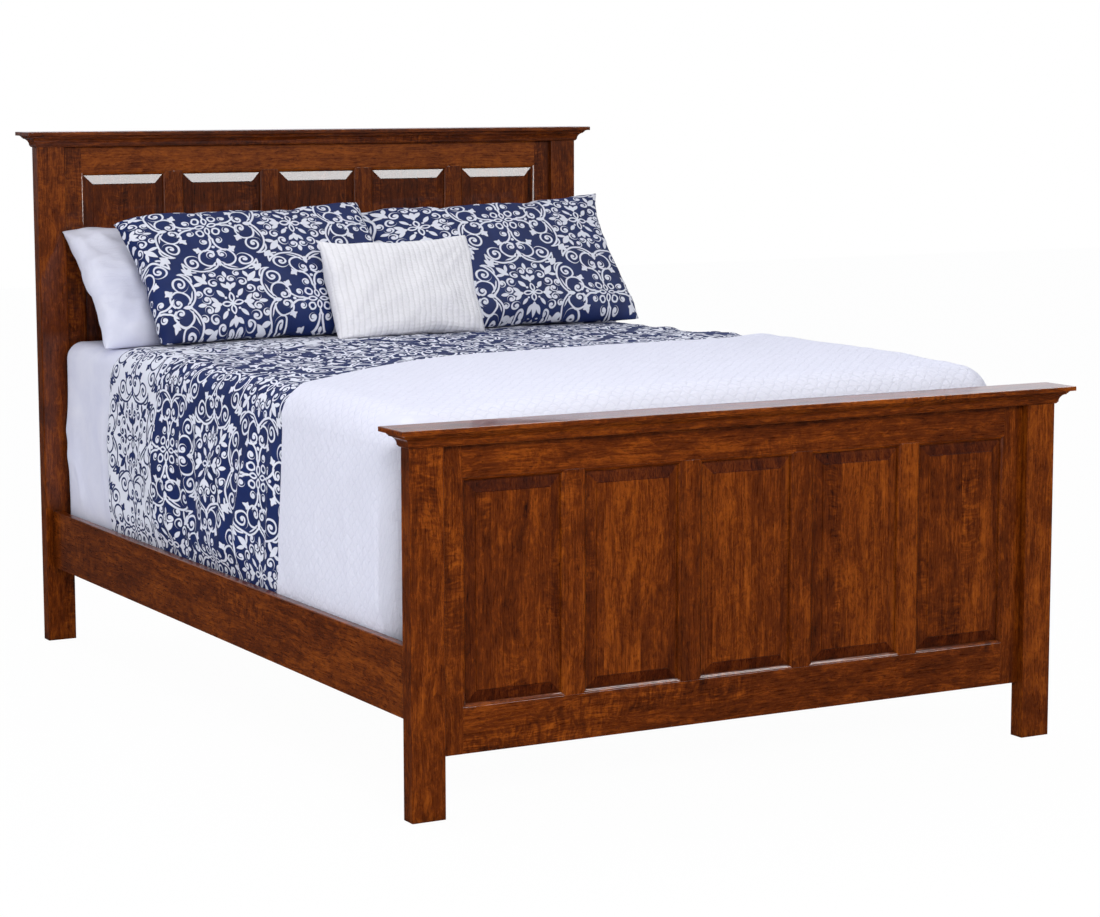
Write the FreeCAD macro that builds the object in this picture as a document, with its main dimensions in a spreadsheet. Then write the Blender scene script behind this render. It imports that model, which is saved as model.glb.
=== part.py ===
import FreeCAD, Part
import Sketcher
import math
import os

# Panel bed, queen size: two framed and panelled ends under moulded caps, joined by two
# side rails that hook into the posts, with slats, box spring, mattress and bedding.
# X runs across the bed, Y from foot (-) to head (+), Z up. Millimetres.
# The origin is on the floor in the middle of the bed.

Vector = FreeCAD.Vector
doc = FreeCAD.newDocument("panel_bed")
sheet = doc.addObject("Spreadsheet::Sheet", "Sizes")


# ---------------------------------------------------------------- sizes

class Size:
    """A number together with the sheet formula that it comes from."""

    def __init__(self, value, text):
        self.value = value
        self.text = text

    def __add__(self, other):
        other = as_size(other)
        return Size(self.value + other.value, f"({self.text} + {other.text})")

    def __sub__(self, other):
        other = as_size(other)
        return Size(self.value - other.value, f"({self.text} - {other.text})")

    def __mul__(self, other):
        other = as_size(other)
        return Size(self.value * other.value, f"({self.text} * {other.text})")

    def __truediv__(self, other):
        other = as_size(other)
        return Size(self.value / other.value, f"({self.text} / {other.text})")

    def __neg__(self):
        return Size(-self.value, f"(0 - {self.text})")

    __radd__ = __add__
    __rmul__ = __mul__


def as_size(number):
    return number if isinstance(number, Size) else Size(float(number), repr(float(number)))


class Sizes:
    """Driving dimensions, each a named cell of the sheet."""

    def __init__(self):
        self.row = 0

    def cell(self, name, content):
        self.row += 1
        sheet.set(f"A{self.row}", name)
        sheet.set(f"B{self.row}", content)
        sheet.setAlias(f"B{self.row}", name)

    def add(self, name, number):
        self.cell(name, str(number))
        setattr(self, name, Size(float(number), f"Sizes.{name}"))

    def derive(self, name, size):
        """A cell worked out from others."""
        self.cell(name, "=" + size.text.replace("Sizes.", ""))
        return Size(size.value, f"Sizes.{name}")


S = Sizes()
for name, number in (
    # what the bed is built round: the mattress and the room that it has in the frame
    ("mattress_width", 1510.0), ("mattress_length", 2032.0), ("mattress_height", 335.4),
    ("side_room", 13.0), ("head_room", 24.5), ("foot_room", 102.8),
    # the two ends
    ("head_height", 1352.8), ("foot_height", 799.8),
    # posts
    ("post_width", 76.2), ("post_depth", 41.3), ("post_ease", 3.0),
    # caps and the moulding under them
    ("cap_thick", 16.0), ("cap_overhang", 33.0), ("cap_edge", 10.0), ("cap_ease", 1.5),
    ("cap_quirk", 2.5), ("cap_cove", 10.5), ("cap_cove_radius", 9.0),
    ("moulding_height", 24.0), ("moulding_top", 18.0), ("moulding_bead", 2.5),
    ("moulding_foot", 5.5), ("moulding_fillet", 4.0), ("moulding_cove_radius", 18.0),
    # framed ends
    ("frame_thick", 20.6), ("head_recess", 13.5), ("foot_recess", 19.8),
    ("stile_flat", 49.5), ("mullion_flat", 44.5), ("top_rail_flat", 68.0),
    ("bottom_rail_flat", 95.4), ("head_frame_bottom", 290.0), ("foot_frame_bottom", 125.3),
    ("bead_width", 8.0), ("bead_drop", 6.6), ("bead_quirk", 1.2),
    ("groove_depth", 9.0), ("groove_width", 6.3), ("tongue_gap", 0.5),
    # raised panels
    ("panel_gap", 0.3), ("panel_end_gap", 1.2), ("bevel_width", 23.3),
    ("bevel_rise", 4.2), ("field_step", 1.8),
    # side rails and what hangs on them
    ("rail_height", 151.4), ("rail_thick", 20.6), ("rail_bottom", 198.6),
    ("rail_setback", 20.1), ("rail_ease", 2.0),
    ("cleat_width", 25.0), ("cleat_height", 22.0),
    ("cleat_inset", 30.0),
    ("slat_width", 89.0), ("slat_thick", 19.0), ("slat_end_gap", 2.0), ("slat_inset", 190.0),
    ("leg_width", 45.0), ("leg_foot_gap", 14.0),
    ("glide_radius", 16.0), ("glide_height", 8.0), ("stem_radius", 5.0), ("stem_length", 40.0),
    ("stem_gap", 0.08), ("bore_spare", 14.0),
    # bed rail fasteners
    ("plate_thick", 2.6), ("plate_width", 15.0), ("plate_height", 120.0),
    ("hook_thick", 3.0), ("hook_reach", 7.5), ("hook_root", 13.0), ("hook_drop", 8.0),
    ("hook_pitch", 50.0), ("hook_gap", 0.4), ("pocket_depth", 15.0),
    ("screw_radius", 2.2), ("screw_head_radius", 4.2), ("screw_inset", 7.0),
    # mattress set
    ("box_height", 228.0), ("mattress_corner", 60.0), ("mattress_edge", 30.0),
    ("rest_gap", 0.3), ("layer_gap", 0.3),
    ("sheet_thick", 1.5), ("cover_drop", 515.0),
    ("duvet_side", 6.0), ("duvet_head_top", 17.0), ("duvet_foot_top", 30.0),
    ("duvet_mid_top", 41.0), ("duvet_shoulder", 80.0), ("duvet_crown", 10.0),
    ("duvet_turndown", 362.0), ("pillow_zone", 300.0), ("duvet_rise", 600.0),
    ("quilt_thick", 4.0), ("quilt_side_head", 1407.0), ("quilt_far_head", 1172.0),
    ("quilt_bow", 36.0),
    # pillows
    ("pillow_width", 640.0), ("pillow_height", 440.0), ("pillow_loft", 112.0),
    ("pillow_lean", 40.0), ("pillow_inset", 20.0),
    ("sham_width", 715.0), ("sham_height", 455.0), ("sham_loft", 118.0),
    ("sham_lean", 46.0), ("sham_spacing", 3.0), ("sham_offset", 51.0),
    ("throw_width", 440.0), ("throw_height", 275.0), ("throw_loft", 92.0),
    ("throw_lean", 66.0), ("throw_offset", 10.0),
    ("seam_draw", 12.0), ("contact_gap", 0.3),
):
    S.add(name, number)
bed_width = S.derive("bed_width", S.mattress_width
                     + (S.side_room + S.rail_thick + S.rail_setback) * 2)
bed_length = S.derive("bed_length", S.post_depth - S.head_recess + S.head_room
                      + S.mattress_length + S.foot_room + S.frame_thick + S.foot_recess)
doc.recompute()

# Places that several pieces share.
post_outer = bed_width / 2
post_inner = post_outer - S.post_width
end_outer = bed_length / 2
end_inner = end_outer - S.post_depth
end_middle = end_outer - S.post_depth / 2
rail_outer = post_outer - S.rail_setback
rail_inner = rail_outer - S.rail_thick
rail_middle = rail_outer - S.rail_thick / 2
rail_top = S.rail_bottom + S.rail_height
slat_bottom = S.rail_bottom + S.cleat_height
box_bottom = slat_bottom + S.slat_thick + S.rest_gap
mattress_bottom = box_bottom + S.box_height + S.rest_gap
mattress_top = mattress_bottom + S.mattress_height
clear_width = post_inner * 2
panel_opening = (clear_width - S.stile_flat * 2 - S.mullion_flat * 4) / 5
PANELS = 5


# ---------------------------------------------------------------- construction helpers

def new_body(name):
    return doc.addObject("PartDesign::Body", name)


def plane_of(body, role):
    return [item for item in body.Origin.OriginFeatures if item.Role == role][0]


def bind(thing, prop, size):
    """Ties a property to the sheet."""
    thing.setExpression(prop, as_size(size).text)


def place(thing, x, y, z, turn=0):
    """Puts a piece at a point named by sizes, turned about its own upright axis."""
    spin = FreeCAD.Rotation(Vector(0, 0, 1), turn)
    point = Vector(as_size(x).value, as_size(y).value, as_size(z).value)
    thing.Placement = FreeCAD.Placement(point, spin)
    for axis, size in zip("xyz", (x, y, z)):
        bind(thing, f"Placement.Base.{axis}", size)
    return thing


def arc_between(start, end, radius):
    """Minor arc; a positive radius has its centre on the left of the way to the end.
    It is always made to run anticlockwise."""
    if radius < 0:
        return arc_between(end, start, -radius)
    middle = (start + end) * 0.5
    half = (end - start).Length / 2
    way = (end - start).normalize()
    left = Vector(-way.y, way.x, 0)
    rise = math.sqrt(max(radius * radius - half * half, 0))
    centre = middle + left * rise
    return Part.Arc(start, centre - left * radius, end)


def draw(body, role, loops, offset=None):
    """Sketch of closed loops on an origin plane. A loop is a list of corners (u, v) or
    (u, v, radius, side), where the arc from that corner runs to the next one."""
    sketch = body.newObject("Sketcher::SketchObject", "Profile")
    sketch.AttachmentSupport = [(plane_of(body, role), "")]
    sketch.MapMode = "FlatFace"
    if offset is not None:
        bind(sketch, "AttachmentOffset.Base.z", offset)
    for loop in loops:
        if isinstance(loop, Disc):
            loop.draw(sketch)
            continue
        first = sketch.GeometryCount
        corners = [Vector(as_size(item[0]).value, as_size(item[1]).value, 0) for item in loop]
        count = len(loop)
        for index, item in enumerate(loop):
            start = corners[index]
            end = corners[(index + 1) % count]
            if len(item) == 4:
                sketch.addGeometry(arc_between(start, end, item[2].value * item[3]), False)
            else:
                sketch.addGeometry(Part.LineSegment(start, end), False)
        for index, item in enumerate(loop):
            edge = first + index
            before = first + (index - 1) % count
            here = end_index(sketch, edge, corners[index])
            there = end_index(sketch, before, corners[index])
            sketch.addConstraint(Sketcher.Constraint("Coincident", before, there, edge, here))
            for kind, size in (("DistanceX", item[0]), ("DistanceY", item[1])):
                size = as_size(size)
                rule = Sketcher.Constraint(kind, -1, 1, edge, here, size.value)
                number = sketch.addConstraint(rule)
                bind(sketch, f"Constraints[{number}]", size)
            if len(item) == 4:
                rule = Sketcher.Constraint("Radius", edge, item[2].value)
                number = sketch.addConstraint(rule)
                bind(sketch, f"Constraints[{number}]", item[2])
    return sketch


def end_index(sketch, edge, point):
    start = sketch.Geometry[edge].StartPoint
    return 1 if (start - point).Length < 1e-6 else 2


class Disc:
    """A full circle in a sketch."""

    def __init__(self, u, v, radius):
        self.u, self.v, self.radius = as_size(u), as_size(v), as_size(radius)

    def draw(self, sketch):
        centre = Vector(self.u.value, self.v.value, 0)
        edge = sketch.addGeometry(Part.Circle(centre, Vector(0, 0, 1), self.radius.value), False)
        for kind, size in (("DistanceX", self.u), ("DistanceY", self.v)):
            number = sketch.addConstraint(Sketcher.Constraint(kind, -1, 1, edge, 3, size.value))
            bind(sketch, f"Constraints[{number}]", size)
        number = sketch.addConstraint(Sketcher.Constraint("Radius", edge, self.radius.value))
        bind(sketch, f"Constraints[{number}]", self.radius)


def pad(body, sketch, length, both_ways=False, back=False):
    feature = body.newObject("PartDesign::Pad", "Pad")
    feature.Profile = sketch
    bind(feature, "Length", length)
    feature.Midplane = both_ways
    feature.Reversed = back
    return feature


def pocket(body, sketch, depth, both_ways=False, back=False):
    feature = body.newObject("PartDesign::Pocket", "Pocket")
    feature.Profile = sketch
    bind(feature, "Length", depth)
    feature.Midplane = both_ways
    feature.Reversed = back
    return feature


def box_loop(u0, u1, v0, v1):
    return [(u0, v0), (u1, v0), (u1, v1), (u0, v1)]


def eased_loop(u0, u1, v0, v1, ease):
    """Rectangle with four small rounded corners."""
    return [
        (u0 + ease, v0), (u1 - ease, v0, ease, 1), (u1, v0 + ease), (u1, v1 - ease, ease, 1),
        (u1 - ease, v1), (u0 + ease, v1, ease, 1), (u0, v1 - ease), (u0, v0 + ease, ease, 1),
    ]


def cut(name, base, *tools):
    """Base less one or more tools."""
    result = base
    for tool in tools:
        step = doc.addObject("Part::Cut", name)
        step.Base = result
        step.Tool = tool
        result = step
    return result


def common(name, *shapes):
    result = doc.addObject("Part::MultiCommon", name)
    result.Shapes = list(shapes)
    return result


def group(name, pieces):
    """Separate solids that share one node."""
    result = doc.addObject("Part::Compound", name)
    result.Links = list(pieces)
    return result


nodes = {}


def node(name, thing):
    thing.Label = name
    nodes[name] = thing
    return thing


# ---------------------------------------------------------------- posts

ENDS = (("foot", -1), ("head", 1))
SIDES = (("left", -1), ("right", 1))
plate_bottom = S.rail_bottom + (S.rail_height - S.plate_height) / 2
plate_middle = plate_bottom + S.plate_height / 2
hook_levels = (plate_middle - S.hook_pitch / 2, plate_middle + S.hook_pitch / 2)
screw_levels = (plate_bottom + S.screw_inset, plate_bottom + S.plate_height - S.screw_inset)
slot_width = S.hook_thick + S.hook_gap * 2
slot_height = S.hook_root + S.hook_drop + S.hook_gap * 2


def plate_loop(centre):
    half = S.plate_width / 2
    return box_loop(centre - half, centre + half, plate_bottom, plate_bottom + S.plate_height)


def make_post(end, end_sign, side, side_sign):
    """Post with the plate mortise and the hook pockets that face the side rail.
    In the post's own frame that face looks along +Y."""
    half_width = S.post_width / 2
    half_depth = S.post_depth / 2
    centre = (rail_middle - post_outer + half_width) * (-end_sign * side_sign)
    height = S.head_height if end == "head" else S.foot_height
    body = new_body(f"{end}_post_{side}_body")
    outline = eased_loop(-half_width, half_width, -half_depth, half_depth, S.post_ease)
    pad(body, draw(body, "XY_Plane", [outline]), height - S.cap_thick)
    face = -half_depth
    pocket(body, draw(body, "XZ_Plane", [plate_loop(centre)], face), S.plate_thick, back=True)
    half_slot = slot_width / 2
    mouths = [
        box_loop(centre - half_slot, centre + half_slot,
                 level - S.hook_drop - S.hook_gap, level + slot_height)
        for level in hook_levels
    ]
    pocket(body, draw(body, "XZ_Plane", mouths, face), S.pocket_depth, back=True)
    turn = 0 if end == "foot" else 180
    place(body, (post_outer - half_width) * side_sign, end_middle * end_sign, 0, turn)
    node(f"{end}_post_{side}", body)


for end, end_sign in ENDS:
    for side, side_sign in SIDES:
        make_post(end, end_sign, side, side_sign)


# ---------------------------------------------------------------- framed ends

groove_front = (S.frame_thick - S.groove_width) / 2
groove_back = groove_front + S.groove_width
inner_edge = post_inner - S.stile_flat - S.bead_width
tongue_reach = S.groove_depth - S.tongue_gap
bead_fall = S.bead_drop - S.bead_quirk
bead_radius = (S.bead_width * S.bead_width + bead_fall * bead_fall) / (bead_fall * 2)


def moulded_edge(flat, way):
    """Section of an edge that faces a panel, from its front arris to its back, as
    (along, depth) corners: quirk, bead and the groove that holds the panel."""
    tip = flat + S.bead_width * way
    floor = tip - S.groove_depth * way
    return [
        (flat, 0), (flat, S.bead_quirk, bead_radius, way), (tip, S.bead_drop),
        (tip, groove_front), (floor, groove_front), (floor, groove_back), (tip, groove_back),
        (tip, S.frame_thick),
    ]


def plain_edge(flat):
    return [(flat, 0), (flat, S.frame_thick)]


def backwards(path):
    """The same path walked from its end."""
    result = [item[:2] for item in reversed(path)]
    for index, item in enumerate(path):
        if len(item) == 4:
            turned = len(path) - 2 - index
            result[turned] = result[turned] + (item[2], -item[3])
    return result


def swapped(path):
    """(along, depth) corners turned into (depth, along) ones."""
    return [(item[1], item[0]) + ((item[2], -item[3]) if len(item) == 4 else ())
            for item in path]


def upright(name, low_edge, high_edge, bottom, top):
    body = new_body(name)
    loop = high_edge + backwards(low_edge)
    pad(body, draw(body, "XY_Plane", [loop], bottom), top - bottom)
    return body


def crosspiece(name, low_edge, high_edge, half_length):
    body = new_body(name)
    loop = swapped(high_edge + backwards(low_edge))
    pad(body, draw(body, "YZ_Plane", [loop]), half_length * 2, both_ways=True)
    return body


def make_panel(name, centre, bottom, top):
    """Raised panel: a tongue all round, a bevel up to a step, and a flat field."""
    body = new_body(name)
    half = panel_opening / 2 - S.bead_width
    reach = S.groove_depth - S.panel_end_gap
    tongue_front = groove_front + S.panel_gap
    tongue = box_loop(centre - half - reach, centre + half + reach, bottom - reach, top + reach)
    tongue_thick = S.groove_width - S.panel_gap * 2
    pad(body, draw(body, "XZ_Plane", [tongue], -(tongue_front + tongue_thick)), tongue_thick)
    foot = box_loop(centre - half, centre + half, bottom, top)
    inset = S.bevel_width
    field = box_loop(centre - half + inset, centre + half - inset, bottom + inset, top - inset)
    loft = body.newObject("PartDesign::AdditiveLoft", "Bevel")
    loft.Profile = draw(body, "XZ_Plane", [foot], -tongue_front)
    loft.Sections = [draw(body, "XZ_Plane", [field], -(tongue_front - S.bevel_rise))]
    loft.Ruled = True
    step = draw(body, "XZ_Plane", [field], -(tongue_front - S.bevel_rise))
    pad(body, step, S.field_step)
    return body


def make_frame(end, face, bottom, height):
    """Stiles, rails, mullions and panels of one end, coped and tongued together."""
    cap_bottom = height - S.cap_thick
    low_flat = bottom + S.bottom_rail_flat
    high_flat = height - S.cap_thick - S.moulding_height - S.top_rail_flat
    stiles = []
    for side, sign in SIDES:
        outer = plain_edge(post_inner * sign)
        inner = moulded_edge((post_inner - S.stile_flat) * sign, -sign)
        edges = (outer, inner) if sign < 0 else (inner, outer)
        body = upright(f"{end}_stile_{side}_body", edges[0], edges[1], bottom, cap_bottom)
        stiles.append(node(f"{end}_stile_{side}", place(body, 0, face, 0)))
    reach = inner_edge + tongue_reach
    lower = crosspiece(f"{end}_bottom_rail_blank", plain_edge(bottom),
                       moulded_edge(low_flat, 1), reach)
    upper = crosspiece(f"{end}_top_rail_blank", moulded_edge(high_flat, -1),
                       plain_edge(cap_bottom), reach)
    rails = []
    for name, blank in (("bottom_rail", lower), ("top_rail", upper)):
        place(blank, 0, face, 0)
        rails.append(node(f"{end}_{name}", cut(f"{end}_{name}_coped", blank, *stiles)))
    pitch = panel_opening + S.mullion_flat
    low_end = low_flat + S.bead_width - tongue_reach
    high_end = high_flat - S.bead_width + tongue_reach
    for index in range(1, PANELS):
        middle = pitch * (index - PANELS / 2)
        blank = upright(f"{end}_mullion_{index}_blank",
                        moulded_edge(middle - S.mullion_flat / 2, -1),
                        moulded_edge(middle + S.mullion_flat / 2, 1), low_end, high_end)
        place(blank, 0, face, 0)
        node(f"{end}_mullion_{index}", cut(f"{end}_mullion_{index}_coped", blank, *rails))
    for index in range(1, PANELS + 1):
        middle = pitch * (index - (PANELS + 1) / 2)
        body = make_panel(f"{end}_panel_{index}_body", middle,
                          low_flat + S.bead_width, high_flat - S.bead_width)
        node(f"{end}_panel_{index}", place(body, 0, face, 0))


foot_face = -(end_outer - S.foot_recess)
head_face = end_inner + S.head_recess
make_frame("foot", foot_face, S.foot_frame_bottom, S.foot_height)
make_frame("head", head_face, S.head_frame_bottom, S.head_height)


# ---------------------------------------------------------------- caps and mouldings

def cap_edge(face, way):
    """Edge of a cap from its top to its underside, as (out, up) corners."""
    rim = face + S.cap_overhang * way
    quirk = rim - S.cap_quirk * way
    return [
        (rim - S.cap_ease * way, 0, S.cap_ease, -way), (rim, -S.cap_ease), (rim, -S.cap_edge),
        (quirk, -S.cap_edge, S.cap_cove_radius, way),
        (quirk - S.cap_cove * way, -S.cap_thick),
    ]


def make_cap(end, y, height):
    """Cap whose moulded edge runs round all four sides."""
    loops = []
    for face in (S.post_depth / 2, post_outer):
        loops.append(cap_edge(face, 1) + backwards(cap_edge(-face, -1)))
    long_body = new_body(f"{end}_cap_long")
    pad(long_body, draw(long_body, "YZ_Plane", [loops[0]]),
        (post_outer + S.cap_overhang) * 2, both_ways=True)
    short_body = new_body(f"{end}_cap_short")
    pad(short_body, draw(short_body, "XZ_Plane", [loops[1]]),
        S.post_depth + S.cap_overhang * 2, both_ways=True)
    for body in (long_body, short_body):
        place(body, 0, y, height)
    node(f"{end}_cap_board", common(f"{end}_cap_board_solid", long_body, short_body))


def cove_section(face, way):
    """Section of the strip under a cap, as (out, up) corners."""
    top = -S.cap_thick
    bottom = top - S.moulding_height
    lip = face + S.moulding_top * way
    shelf = top - S.moulding_bead
    toe = bottom + S.moulding_fillet
    return [
        (face, top), (lip, top), (lip, shelf),
        (lip - S.moulding_bead * way, shelf, S.moulding_cove_radius, way),
        (face + S.moulding_foot * way, toe),
        (face + S.moulding_fillet * way, toe, S.moulding_fillet, -way), (face, bottom),
    ]


def make_strip(name, role, face, half_run, plan, y, height, turn):
    """One mitred strip: its section run long, less what lies past the mitres."""
    run = new_body(f"{name}_run")
    pad(run, draw(run, role, [cove_section(face, -1)]), half_run * 2, both_ways=True)
    mitre = new_body(f"{name}_mitre")
    low = -(S.cap_thick + S.moulding_height)
    pad(mitre, draw(mitre, "XY_Plane", [plan], low), S.moulding_height)
    for body in (run, mitre):
        place(body, 0, y, height, turn)
    return common(name, run, mitre)


def make_moulding(end, y, height):
    depth = S.post_depth / 2
    lip = S.moulding_top
    long_plan = [(-post_outer - lip, -depth - lip), (post_outer + lip, -depth - lip),
                 (post_outer, -depth), (-post_outer, -depth)]
    short_plan = [(-post_outer - lip, -depth - lip), (-post_outer, -depth),
                  (-post_outer, depth), (-post_outer - lip, depth + lip)]
    strips = []
    for turn in (0, 180):
        strips.append(make_strip(f"{end}_long_strip_{turn}", "YZ_Plane", -depth,
                                 post_outer + lip, long_plan, y, height, turn))
        strips.append(make_strip(f"{end}_short_strip_{turn}", "XZ_Plane", -post_outer,
                                 depth + lip, short_plan, y, height, turn))
    node(f"{end}_cap_moulding", group(f"{end}_moulding_strips", strips))


for end, end_sign, height in (("foot", -1, S.foot_height), ("head", 1, S.head_height)):
    make_cap(end, end_middle * end_sign, height)
    make_moulding(end, end_middle * end_sign, height)


# ---------------------------------------------------------------- side rails, slats, legs

def make_side_rail(side, sign):
    half = S.rail_thick / 2
    ease = S.rail_ease
    body = new_body(f"side_rail_{side}_body")
    outline = [
        (-half, S.rail_bottom), (half, S.rail_bottom), (half, rail_top - ease, ease, 1),
        (half - ease, rail_top), (-half + ease, rail_top, ease, 1), (-half, rail_top - ease),
    ]
    pad(body, draw(body, "XZ_Plane", [outline]), end_inner * 2, both_ways=True)
    for end, end_sign in ENDS:
        face = end_inner * -end_sign
        mortise = draw(body, "XZ_Plane", [plate_loop(as_size(0))], face)
        pocket(body, mortise, S.plate_thick, back=end_sign > 0)
    node(f"side_rail_{side}", place(body, rail_middle * sign, 0, 0))


def bar(name, x_half, y_half, bottom, thick):
    """Plain squared piece, centred on its own upright axis."""
    body = new_body(name)
    outline = box_loop(-x_half, x_half, -y_half, y_half)
    pad(body, draw(body, "XY_Plane", [outline], bottom), thick)
    return body


for side, sign in SIDES:
    make_side_rail(side, sign)
    cleat = bar(f"cleat_{side}_body", S.cleat_width / 2, end_inner - S.cleat_inset,
                S.rail_bottom, S.cleat_height)
    node(f"cleat_{side}", place(cleat, (rail_inner - S.cleat_width / 2) * sign, 0, 0))

SLATS = 5
slat_pitch = (end_inner - S.slat_inset) * 2 / (SLATS - 1)
for index in range(1, SLATS + 1):
    slat = bar(f"slat_{index}_body", rail_inner - S.slat_end_gap, S.slat_width / 2,
               slat_bottom, S.slat_thick)
    node(f"slat_{index}", place(slat, 0, slat_pitch * (index - (SLATS + 1) / 2), 0))

leg_bottom = S.glide_height + S.leg_foot_gap
stem_top = S.glide_height + S.stem_length
for name, turn in (("front", -1), ("rear", 1)):
    y = slat_pitch * turn
    leg = bar(f"center_leg_{name}_body", S.leg_width / 2, S.leg_width / 2,
              leg_bottom, slat_bottom - leg_bottom)
    bore = draw(leg, "XY_Plane", [Disc(0, 0, S.stem_radius + S.stem_gap)], leg_bottom)
    pocket(leg, bore, stem_top + S.bore_spare - leg_bottom, back=True)
    node(f"center_leg_{name}", place(leg, 0, y, 0))
    glide = new_body(f"leveling_foot_{name}_body")
    pad(glide, draw(glide, "XY_Plane", [Disc(0, 0, S.glide_radius)]), S.glide_height)
    stem = draw(glide, "XY_Plane", [Disc(0, 0, S.stem_radius)], S.glide_height)
    pad(glide, stem, S.stem_length)
    node(f"leveling_foot_{name}", place(glide, 0, y, 0))


# ---------------------------------------------------------------- bed rail fasteners

def make_slot_plate(name):
    """Plate let into a post. The meeting plane is y = 0 and the post lies on the -Y side."""
    body = new_body(name)
    pad(body, draw(body, "XZ_Plane", [plate_loop(as_size(0))]), S.plate_thick)
    half = slot_width / 2
    slots = [box_loop(-half, half, level, level + slot_height) for level in hook_levels]
    pocket(body, draw(body, "XZ_Plane", slots), S.plate_thick, back=True)
    drill(body, 90)
    return body


def make_hook_plate(name):
    """Plate let into a rail's end, with two hooks that drop behind the slot plate."""
    body = new_body(name)
    pad(body, draw(body, "XZ_Plane", [plate_loop(as_size(0))], -S.plate_thick), S.plate_thick)
    behind = -(S.plate_thick + S.hook_gap)
    hooks = [
        [(0, level), (0, level + S.hook_root), (-S.hook_reach, level + S.hook_root),
         (-S.hook_reach, level - S.hook_drop), (behind, level - S.hook_drop), (behind, level)]
        for level in hook_levels
    ]
    pad(body, draw(body, "YZ_Plane", hooks), S.hook_thick, both_ways=True)
    drill(body, -90)
    return body


def drill(body, turn):
    """Two countersunk screw holes, wide at the meeting plane."""
    for level in screw_levels:
        hole = body.newObject("PartDesign::SubtractiveCone", "Hole")
        for prop, size in (("Radius1", S.screw_head_radius), ("Radius2", S.screw_radius),
                           ("Height", S.plate_thick)):
            bind(hole, prop, size)
        hole.Placement = FreeCAD.Placement(Vector(0, 0, level.value),
                                           FreeCAD.Rotation(Vector(1, 0, 0), turn))
        bind(hole, "Placement.Base.z", level)


slot_plates = []
hook_plates = []
for end, end_sign in ENDS:
    turn = 0 if end_sign < 0 else 180
    for side, sign in SIDES:
        x = rail_middle * sign
        y = end_inner * end_sign
        slot_plates.append(place(make_slot_plate(f"slot_plate_{end}_{side}"), x, y, 0, turn))
        hook_plates.append(place(make_hook_plate(f"hook_plate_{end}_{side}"), x, y, 0, turn))
node("post_slot_plates", group("slot_plate_set", slot_plates))
node("rail_hook_plates", group("hook_plate_set", hook_plates))


# ---------------------------------------------------------------- box spring and mattress

mattress_half = S.mattress_width / 2
mattress_head = head_face - S.head_room
mattress_foot = mattress_head - S.mattress_length


def rounded_front(half, bottom, top, radius):
    return [(-half, bottom), (half, bottom), (half, top - radius, radius, 1),
            (half - radius, top), (-half + radius, top, radius, 1), (-half, top - radius)]


def rounded_side(foot, head, bottom, top, radius):
    return [(foot, bottom), (head, bottom), (head, top - radius, radius, 1),
            (head - radius, top), (foot + radius, top, radius, 1), (foot, top - radius)]


def rounded_plan(half, foot, head, radius):
    return [
        (-half + radius, foot), (half - radius, foot, radius, 1), (half, foot + radius),
        (half, head - radius, radius, 1), (half - radius, head),
        (-half + radius, head, radius, 1), (-half, head - radius),
        (-half, foot + radius, radius, 1),
    ]


def soft_block(name, plan, front, side, bottom, top, half, foot, head):
    """What three outlines share: seen from above, from the foot and from the side."""
    from_above = new_body(f"{name}_plan")
    pad(from_above, draw(from_above, "XY_Plane", [plan], bottom), top - bottom)
    from_foot = new_body(f"{name}_front")
    pad(from_foot, draw(from_foot, "XZ_Plane", [front], -head), head - foot)
    from_side = new_body(f"{name}_side")
    pad(from_side, draw(from_side, "YZ_Plane", [side]), half * 2, both_ways=True)
    return common(name, from_above, from_foot, from_side)


def bed_block(name, bottom, top, edge, grow):
    """The mattress outline grown on all sides, down to a given level."""
    half = mattress_half + grow
    foot = mattress_foot - grow
    head = mattress_head + grow
    high = top + grow
    return soft_block(
        name, rounded_plan(half, foot, head, S.mattress_corner + grow),
        rounded_front(half, bottom, high, edge + grow),
        rounded_side(foot, head, bottom, high, edge + grow), bottom, high, half, foot, head)


no_growth = as_size(0)
box_top = box_bottom + S.box_height
node("box_spring", bed_block("box_spring_solid", box_bottom, box_top,
                             S.mattress_edge / 2, no_growth))
node("mattress", bed_block("mattress_solid", mattress_bottom, mattress_top,
                           S.mattress_edge, no_growth))


# ---------------------------------------------------------------- sheet, duvet and quilt

sheet_inside = S.layer_gap
sheet_outside = sheet_inside + S.sheet_thick
duvet_inside = sheet_outside + S.layer_gap
cover_bottom = mattress_top - S.cover_drop
below_covers = cover_bottom - 10
node("sheet", cut(
    "sheet_cover",
    bed_block("sheet_outer", cover_bottom, mattress_top, S.mattress_edge, sheet_outside),
    bed_block("sheet_inner", below_covers, mattress_top, S.mattress_edge, sheet_inside)))

duvet_half = mattress_half + duvet_inside + S.duvet_side
duvet_foot = mattress_foot - duvet_inside - S.duvet_side
duvet_edge = mattress_head - S.duvet_turndown
bed_top = mattress_top + duvet_inside


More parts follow.
